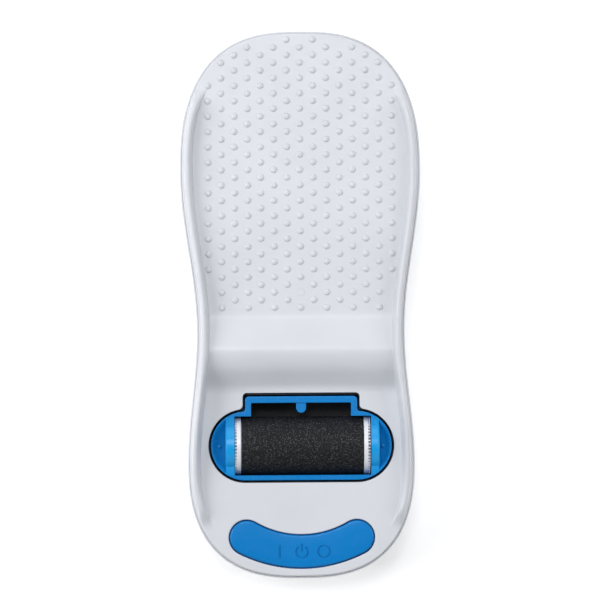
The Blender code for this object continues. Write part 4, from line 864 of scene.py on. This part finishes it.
def make_end_rings(stuff):
    """White end rings: a smooth flange, and fine teeth on the outer edge."""
    module = ROLLER_RADIUS / (RING_TEETH / 2 + 1.1)
    tip, root = module * (RING_TEETH / 2 + 0.95), module * (RING_TEETH / 2 - 4.0)
    for node, side in (("end_ring_left", -1), ("end_ring_right", 1)):
        low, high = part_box(node)
        outer = ROLLER_SHIFT + (low.x + 0.2 * MM if side < 0 else high.x)
        inner = ROLLER_SHIFT + (high.x if side < 0 else low.x)
        tooth_x = ROLLER_SHIFT + side * RING_TOOTH_X
        plain = high.z - ROLLER_Z
        steps = 8

        def ring(x, toothed, limit):
            points = []
            for k in range(RING_TEETH * steps):
                phase = (k % steps) / steps
                wave = min(1.0, max(0.0, (abs(phase - 0.5) * 2 - 0.42) / 0.2))
                r = min(lerp(root, tip, wave), limit) if toothed else limit
                angle = FIRST_TOOTH_ANGLE + 2 * math.pi * k / (RING_TEETH * steps)
                points.append((x, ROLLER_Y + r * math.cos(angle), ROLLER_Z + r * math.sin(angle)))
            return points

        rings = [ring(inner, False, RING_BORE), ring(inner, False, plain - 0.2 * MM),
                 ring(inner + side * 0.2 * MM, False, plain), ring(tooth_x - side * 0.1 * MM, False, plain),
                 ring(tooth_x, False, plain - 0.1 * MM), ring(tooth_x, True, plain),
                 ring(outer - side * 0.25 * MM, True, plain), ring(outer, True, tip - 0.25 * MM),
                 ring(outer, False, RING_BORE)]
        piece = loft(f"toothed_{node}", rings, stuff["acetal"], 35, closed=True)
        place(piece, "roller", "acetal", node)


# ========================================
# button
# ========================================
def make_button(stuff):
    """Blue crescent button with a rounded edge, a faint crown and engraved power symbols."""
    fillet = 0.9 * MM
    low = BUTTON_LOW.z
    rings = [at_height(button_outline(-1.8 * MM), low), at_height(button_outline(0.0), low),
             at_height(button_outline(0.0), 28.0 * MM), at_height(button_outline(1.2 * MM), 28.0 * MM),
             at_height(button_outline(1.2 * MM), 29.5 * MM), at_height(button_outline(0.0), 29.5 * MM)]
    for turn in np.linspace(0, math.pi / 2, 7):
        rings.append(at_height(button_outline(-fillet * (1 - math.cos(turn))),
                               BUTTON_TOP_Z - 0.12 * MM - fillet + fillet * math.sin(turn)))
    rings.append(at_height(button_outline(-3.5 * MM), BUTTON_TOP_Z - 0.02 * MM))
    rings.append(at_height(button_outline(-5.5 * MM), BUTTON_TOP_Z))
    button = loft("crescent_button", rings, stuff["blue_plastic"], caps=(False, True))
    core = button_outline(-1.8 * MM)
    close_and_hollow(button, loft("hollow", [at_height(core, low), at_height(core, 30.4 * MM)]))
    for glyph, x in (("bar", -11 * MM), ("standby", 0.0), ("ring", 11 * MM)):
        for tool in engraving(glyph, x):
            boolean(button, tool)
    finish_surface(button, 35)
    place(button, "button", "blue_plastic", "power_button")


def close_and_hollow(button, hollow):
    """Closes the open underside of the loft, then hollows it."""
    work = bmesh.new()
    work.from_mesh(button.data)
    edges = [e for e in work.edges if e.is_boundary]
    bmesh.ops.contextual_create(work, geom=edges)
    bmesh.ops.recalc_face_normals(work, faces=work.faces)
    work.to_mesh(button.data)
    work.free()
    boolean(button, hollow)


def engraving(glyph, x):
    """Cutters for generic power symbols: a bar, a ring, and a broken ring with a bar."""
    floor_z, top_z = BUTTON_TOP_Z - 0.45 * MM, BUTTON_TOP_Z + 2 * MM
    y, half = BUTTON_MID_Y, 0.4 * MM

    def solid(outline, name):
        return loft(name, [at_height(outline, floor_z), at_height(outline, top_z)], smooth=0)

    if glyph == "bar":
        return [solid(rectangle((x - half, y - 3.2 * MM), (x + half, y + 3.2 * MM), 0.35 * MM), "bar")]
    if glyph == "ring":
        profile = [(floor_z, 2.55 * MM), (floor_z, 3.3 * MM), (top_z, 3.3 * MM), (top_z, 2.55 * MM)]
        return [turned("ring", profile, (x, y, 0), closed=True, smooth=0)]
    broken = arc((x, y - 0.2 * MM), 3.3 * MM, 125, 415, 40) + arc((x, y - 0.2 * MM), 2.55 * MM, 415, 125, 40)
    bar = rectangle((x - half, y), (x + half, y + 3.8 * MM), 0.35 * MM)
    return [solid(broken, "broken_ring"), solid(bar, "standby_bar")]


# ========================================
# underside and insides
# ========================================
def make_feet(stuff):
    """Rubber feet with a rounded edge and a shallow ring in the sole."""
    for i in range(1, FOOT_COUNT + 1):
        low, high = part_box(f"rubber_foot_{i}")
        center = upright_axis(low, high)
        radius, top = (high.x - low.x) / 2, high.z
        profile = [(0.35 * MM, 0), (0.35 * MM, 3.2 * MM), (0, 3.6 * MM), (0, radius - 0.8 * MM)]
        profile += [(0.7 * MM * (1 - math.cos(t)), radius - 0.8 * MM + 0.7 * MM * math.sin(t))
                    for t in np.linspace(0.2, math.pi / 2, 5)]
        profile += [(top - 0.2 * MM, radius), (top, radius - 0.2 * MM), (top, 0)]
        foot = turned(f"rubber_pad_{i}", profile, center, segments=56, stuff=stuff["rubber"])
        place(foot, "base", "rubber", f"rubber_foot_{i}")


def make_screws(stuff):
    """Case screws: domed heads with a cross recess, plain shanks."""
    for i in range(1, SCREW_COUNT + 1):
        low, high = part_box(f"case_screw_{i}")
        center = upright_axis(low, high)
        head = 2.8 * MM
        profile = [(low.z, 0), (low.z, 1.2 * MM), (low.z + 0.15 * MM, 2.0 * MM), (low.z + 0.5 * MM, 2.6 * MM),
                   (low.z + 0.9 * MM, head), (low.z + 1.7 * MM, head), (low.z + 1.7 * MM, 1.3 * MM)]
        pitch, z = 0.9 * MM, low.z + 3.2 * MM
        while z < high.z - 1.6 * MM:
            profile += [(z, 1.05 * MM), (z + pitch / 2, 1.3 * MM)]
            z += pitch
        profile += [(high.z - 0.8 * MM, 0.9 * MM), (high.z, 0)]
        screw = turned(f"casing_screw_{i}", profile, center, segments=32, stuff=stuff["steel"], smooth=25)
        for dx, dy in ((1.5 * MM, 0.33 * MM), (0.33 * MM, 1.5 * MM)):
            boolean(screw, block("cross", (center[0] - dx, center[1] - dy, 2 * MM),
                                 (center[0] + dx, center[1] + dy, low.z + 1.0 * MM)))
        screw.data.shade_smooth()
        screw.data.set_sharp_from_angle(angle=math.radians(25))
        place(screw, "base", "steel", f"case_screw_{i}")


def make_door(stuff):
    """Battery door with rounded corners, ribbed grip and a generic opening arrow."""
    pos = JOINTS["battery_door_hinge"]["pos_m"]
    hinge_y, mid_z = pos[1], (DOOR_LOW.z + DOOR_HIGH.z) / 2
    half = (DOOR_HIGH.z - DOOR_LOW.z) / 2
    body = []
    for i in range(13):
        turn = math.radians(-90 + 180 * i / 12)
        body.append((hinge_y + half * math.cos(turn), mid_z + half * math.sin(turn)))
    edge = 0.35 * MM
    body += [(DOOR_LOW.y + edge, mid_z + half), (DOOR_LOW.y, mid_z + half - edge),
             (DOOR_LOW.y, mid_z - half + edge), (DOOR_LOW.y + edge, mid_z - half)]
    rings = []
    for x, shrink in ((DOOR_LOW.x, 0.25), (DOOR_LOW.x + 0.25 * MM, 0.0), (DOOR_HIGH.x - 0.25 * MM, 0.0),
                      (DOOR_HIGH.x, 0.25)):
        ring = [(x, lerp(y, (DOOR_LOW.y + hinge_y) / 2, shrink * 0.012), lerp(z, mid_z, shrink))
                for y, z in body]
        rings.append(ring)
    door = loft("battery_cover", rings, stuff["white_plastic"])
    for i in range(4):
        y = DOOR_LOW.y + 4 * MM + i * 1.8 * MM
        groove = [(x, y + dy, DOOR_LOW.z + dz) for x, dy, dz in (
            (-9 * MM, -0.5 * MM, -0.3 * MM), (-9 * MM, 0.5 * MM, -0.3 * MM), (-9 * MM, 0, 0.55 * MM))]
        other = [(9 * MM, p[1], p[2]) for p in groove]
        boolean(door, loft("groove", [groove, other], smooth=0))
    tip = DOOR_LOW.y + 13 * MM
    arrow = [(0, tip - 1 * MM), (3 * MM, tip + 3.5 * MM), (-3 * MM, tip + 3.5 * MM)]
    boolean(door, loft("arrow", [at_height(arrow, DOOR_LOW.z - 1 * MM),
                                 at_height(arrow, DOOR_LOW.z + 0.3 * MM)], smooth=0))
    finish_surface(door)
    place(door, "battery_door", "white_plastic", "battery_door")


def make_cells(stuff):
    """AA cells: a plain sleeve shrunk over a steel can, with its bright ends."""
    for i in range(1, CELL_COUNT + 1):
        low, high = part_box(f"battery_cell_{i}")
        center = ((low.x + high.x) / 2, 0, (low.z + high.z) / 2)
        radius = (high.z - low.z) / 2
        spring_low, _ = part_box(f"cell_spring_{i}")
        plus_high = spring_low.y < low.y
        flip = (lambda a: a) if plus_high else (lambda a: low.y + high.y - a)
        shoulder = high.y - 1.3 * MM
        sleeve = [(low.y + 0.12 * MM, radius - 1.3 * MM), (low.y, radius - 0.9 * MM),
                  (low.y + 0.25 * MM, radius - 0.2 * MM), (low.y + 0.8 * MM, radius),
                  (shoulder - 0.8 * MM, radius), (shoulder - 0.25 * MM, radius - 0.2 * MM),
                  (shoulder, radius - 0.9 * MM), (shoulder - 0.12 * MM, radius - 1.3 * MM),
                  (shoulder - 1.5 * MM, radius - 1.4 * MM), (low.y + 1.5 * MM, radius - 1.4 * MM)]
        wrap = turned(f"cell_sleeve_{i}", [(flip(a), r) for a, r in sleeve], center, "Y", 48,
                      stuff["cell_wrap"], closed=True)
        place(wrap, "base", "cell_wrap", f"battery_cell_{i}")
        can = [(low.y + 0.25 * MM, 0), (low.y + 0.25 * MM, radius - 1.6 * MM),
               (low.y + 0.4 * MM, radius - 1.5 * MM), (shoulder - 0.5 * MM, radius - 1.5 * MM),
               (shoulder - 0.3 * MM, radius - 2.2 * MM),
               (shoulder - 0.3 * MM, 2.8 * MM), (high.y - 0.3 * MM, 2.6 * MM), (high.y, 2.3 * MM),
               (high.y, 0)]
        core = turned(f"cell_can_{i}", [(flip(a), r) for a, r in can], center, "Y", 40, stuff["steel"])
        place(core, "base", "steel")


def make_springs(stuff):
    """Round-wire contact springs and button springs."""
    for i in range(1, CELL_COUNT + 1):
        low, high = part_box(f"cell_spring_{i}")
        cell_low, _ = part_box(f"battery_cell_{i}")
        wide_first = low.y < cell_low.y
        radii = (4.25 * MM, 1.9 * MM) if wide_first else (1.9 * MM, 4.25 * MM)
        coil = coil_mesh(f"contact_coil_{i}", radii, (low.y, high.y), 3.5, 0.32 * MM,
                         ((low.x + high.x) / 2, (low.z + high.z) / 2), "Y", stuff["steel"])
        place(coil, "base", "steel", f"cell_spring_{i}")
    for label in ("left", "right"):
        low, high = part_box(f"button_spring_{label}")
        coil = coil_mesh(f"return_coil_{label}", (3.2 * MM, 3.2 * MM), (low.z, high.z), 7, 0.4 * MM,
                         ((low.x + high.x) / 2, (low.y + high.y) / 2), "Z", stuff["steel"])
        place(coil, "base", "steel", f"button_spring_{label}")
        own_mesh(coil)


def coil_mesh(name, radii, span, turns, wire, center, along, stuff):
    """A coil of round wire between two places on its axis."""
    per_turn, sides = 28, 10
    steps = int(turns * per_turn)
    rings = []
    for i in range(steps + 1):
        share = i / steps
        angle = 2 * math.pi * turns * share
        reach = lerp(*radii, share)
        height = lerp(span[0] + wire, span[1] - wire, share)
        ring = []
        for k in range(sides):
            turn = 2 * math.pi * k / sides
            r = reach + wire * math.cos(turn)
            p, q, a = r * math.cos(angle), r * math.sin(angle), height + wire * math.sin(turn)
            if along == "Z":
                ring.append((center[0] + p, center[1] + q, a))
            else:
                ring.append((center[0] + p, a, center[1] + q))
        rings.append(ring)
    return loft(name, rings, stuff, 60)


# ========================================
# stage
# ========================================
# Soft boxes: name, place in metres, side in metres, watts.
LIGHTS = (
    ("left_box", (-1.2, 0.1, 0.9), 1.0, 15.7),
    ("right_box", (1.2, 0.1, 0.9), 1.0, 9.1),
    ("toe_box", (-0.1, 1.2, 0.9), 1.0, 6.5),
    ("heel_box", (0.1, -1.2, 0.9), 1.0, 2.5),
    ("top_box", (-0.1, 0.48, 1.9), 0.6, 9.1),
)
FLOOR_HALF = 3
CAMERA_HEIGHT, CAMERA_LEFT, SEEN_WIDTH, SEEN_Z, SENSOR = 3.0, 45 * MM, 0.300, 26 * MM, 36.0
CAMERA_AIM = Vector((-0.075 * MM, 2.5 * MM, SEAM_Z))
CAMERA_UP = Vector((0.00602, 1.0, 0.0))


def make_stage():
    """Plain pale floor, soft boxes on four sides and above, and a camera almost straight above."""
    half = FLOOR_HALF
    floor = new_object("floor", [(-half, -half, 0), (half, -half, 0), (half, half, 0), (-half, half, 0)],
                       [(0, 1, 2, 3)], smooth=0)
    made = Nodes("floor_paper")
    tint = made.spread(made.noise(120 * MM, 2.0), 0.3, 0.7, 0.0, 1.0)
    made.set(Base_Color=made.blend(tint, (0.93, 0.93, 0.93), (0.95, 0.95, 0.95)), Roughness=0.9)
    made.set(Emission_Color=(1.0, 1.0, 1.0, 1.0), Emission_Strength=0.3)
    floor.data.materials.append(made.material)

    world = bpy.data.worlds.new("soft_box")
    world.use_nodes = True
    background = world.node_tree.nodes["Background"]
    background.inputs["Color"].default_value = (0.93, 0.955, 1.0, 1.0)
    background.inputs["Strength"].default_value = 0.03
    bpy.context.scene.world = world

    for light in LIGHTS:
        area_light(*light)

    camera_data = bpy.data.cameras.new("camera")
    camera = bpy.data.objects.new("camera", camera_data)
    camera_data.sensor_width = SENSOR
    camera_data.lens = SENSOR * (CAMERA_HEIGHT - SEEN_Z) / SEEN_WIDTH
    camera_data.clip_start = 0.05
    camera.location = (CAMERA_AIM.x - CAMERA_LEFT, CAMERA_AIM.y, CAMERA_HEIGHT)
    back = (camera.location - CAMERA_AIM).normalized()
    right = CAMERA_UP.cross(back).normalized()
    camera.rotation_euler = Matrix((right, back.cross(right), back)).transposed().to_euler()
    bpy.context.scene.collection.objects.link(camera)
    bpy.context.scene.camera = camera
    bpy.context.scene.view_settings.view_transform = "Standard"


def area_light(name, place_at, size, power):
    """A square soft light aimed at the origin."""
    data = bpy.data.lights.new(name, "AREA")
    data.size = size
    data.energy = power
    light = bpy.data.objects.new(name, data)
    light.location = place_at
    light.rotation_euler = Vector(place_at).to_track_quat("Z", "Y").to_euler()
    bpy.context.scene.collection.objects.link(light)


def dress_cad_nodes(stuff):
    """Gives every CAD node its slot's material."""
    for name, node in NODES.items():
        node.data.materials.clear()
        node.data.materials.append(stuff[SLOT_OF[name]])


def main():
    """Builds every visible piece."""
    stuff = make_materials()
    dress_cad_nodes(stuff)
    make_stage()
    make_top_shell(stuff)
    make_studs(stuff)
    make_bottom_shell(stuff)
    make_cartridge(stuff)
    make_sleeve(stuff)
    make_end_rings(stuff)
    make_button(stuff)
    make_feet(stuff)
    make_screws(stuff)
    make_door(stuff)
    make_cells(stuff)
    make_springs(stuff)


main()
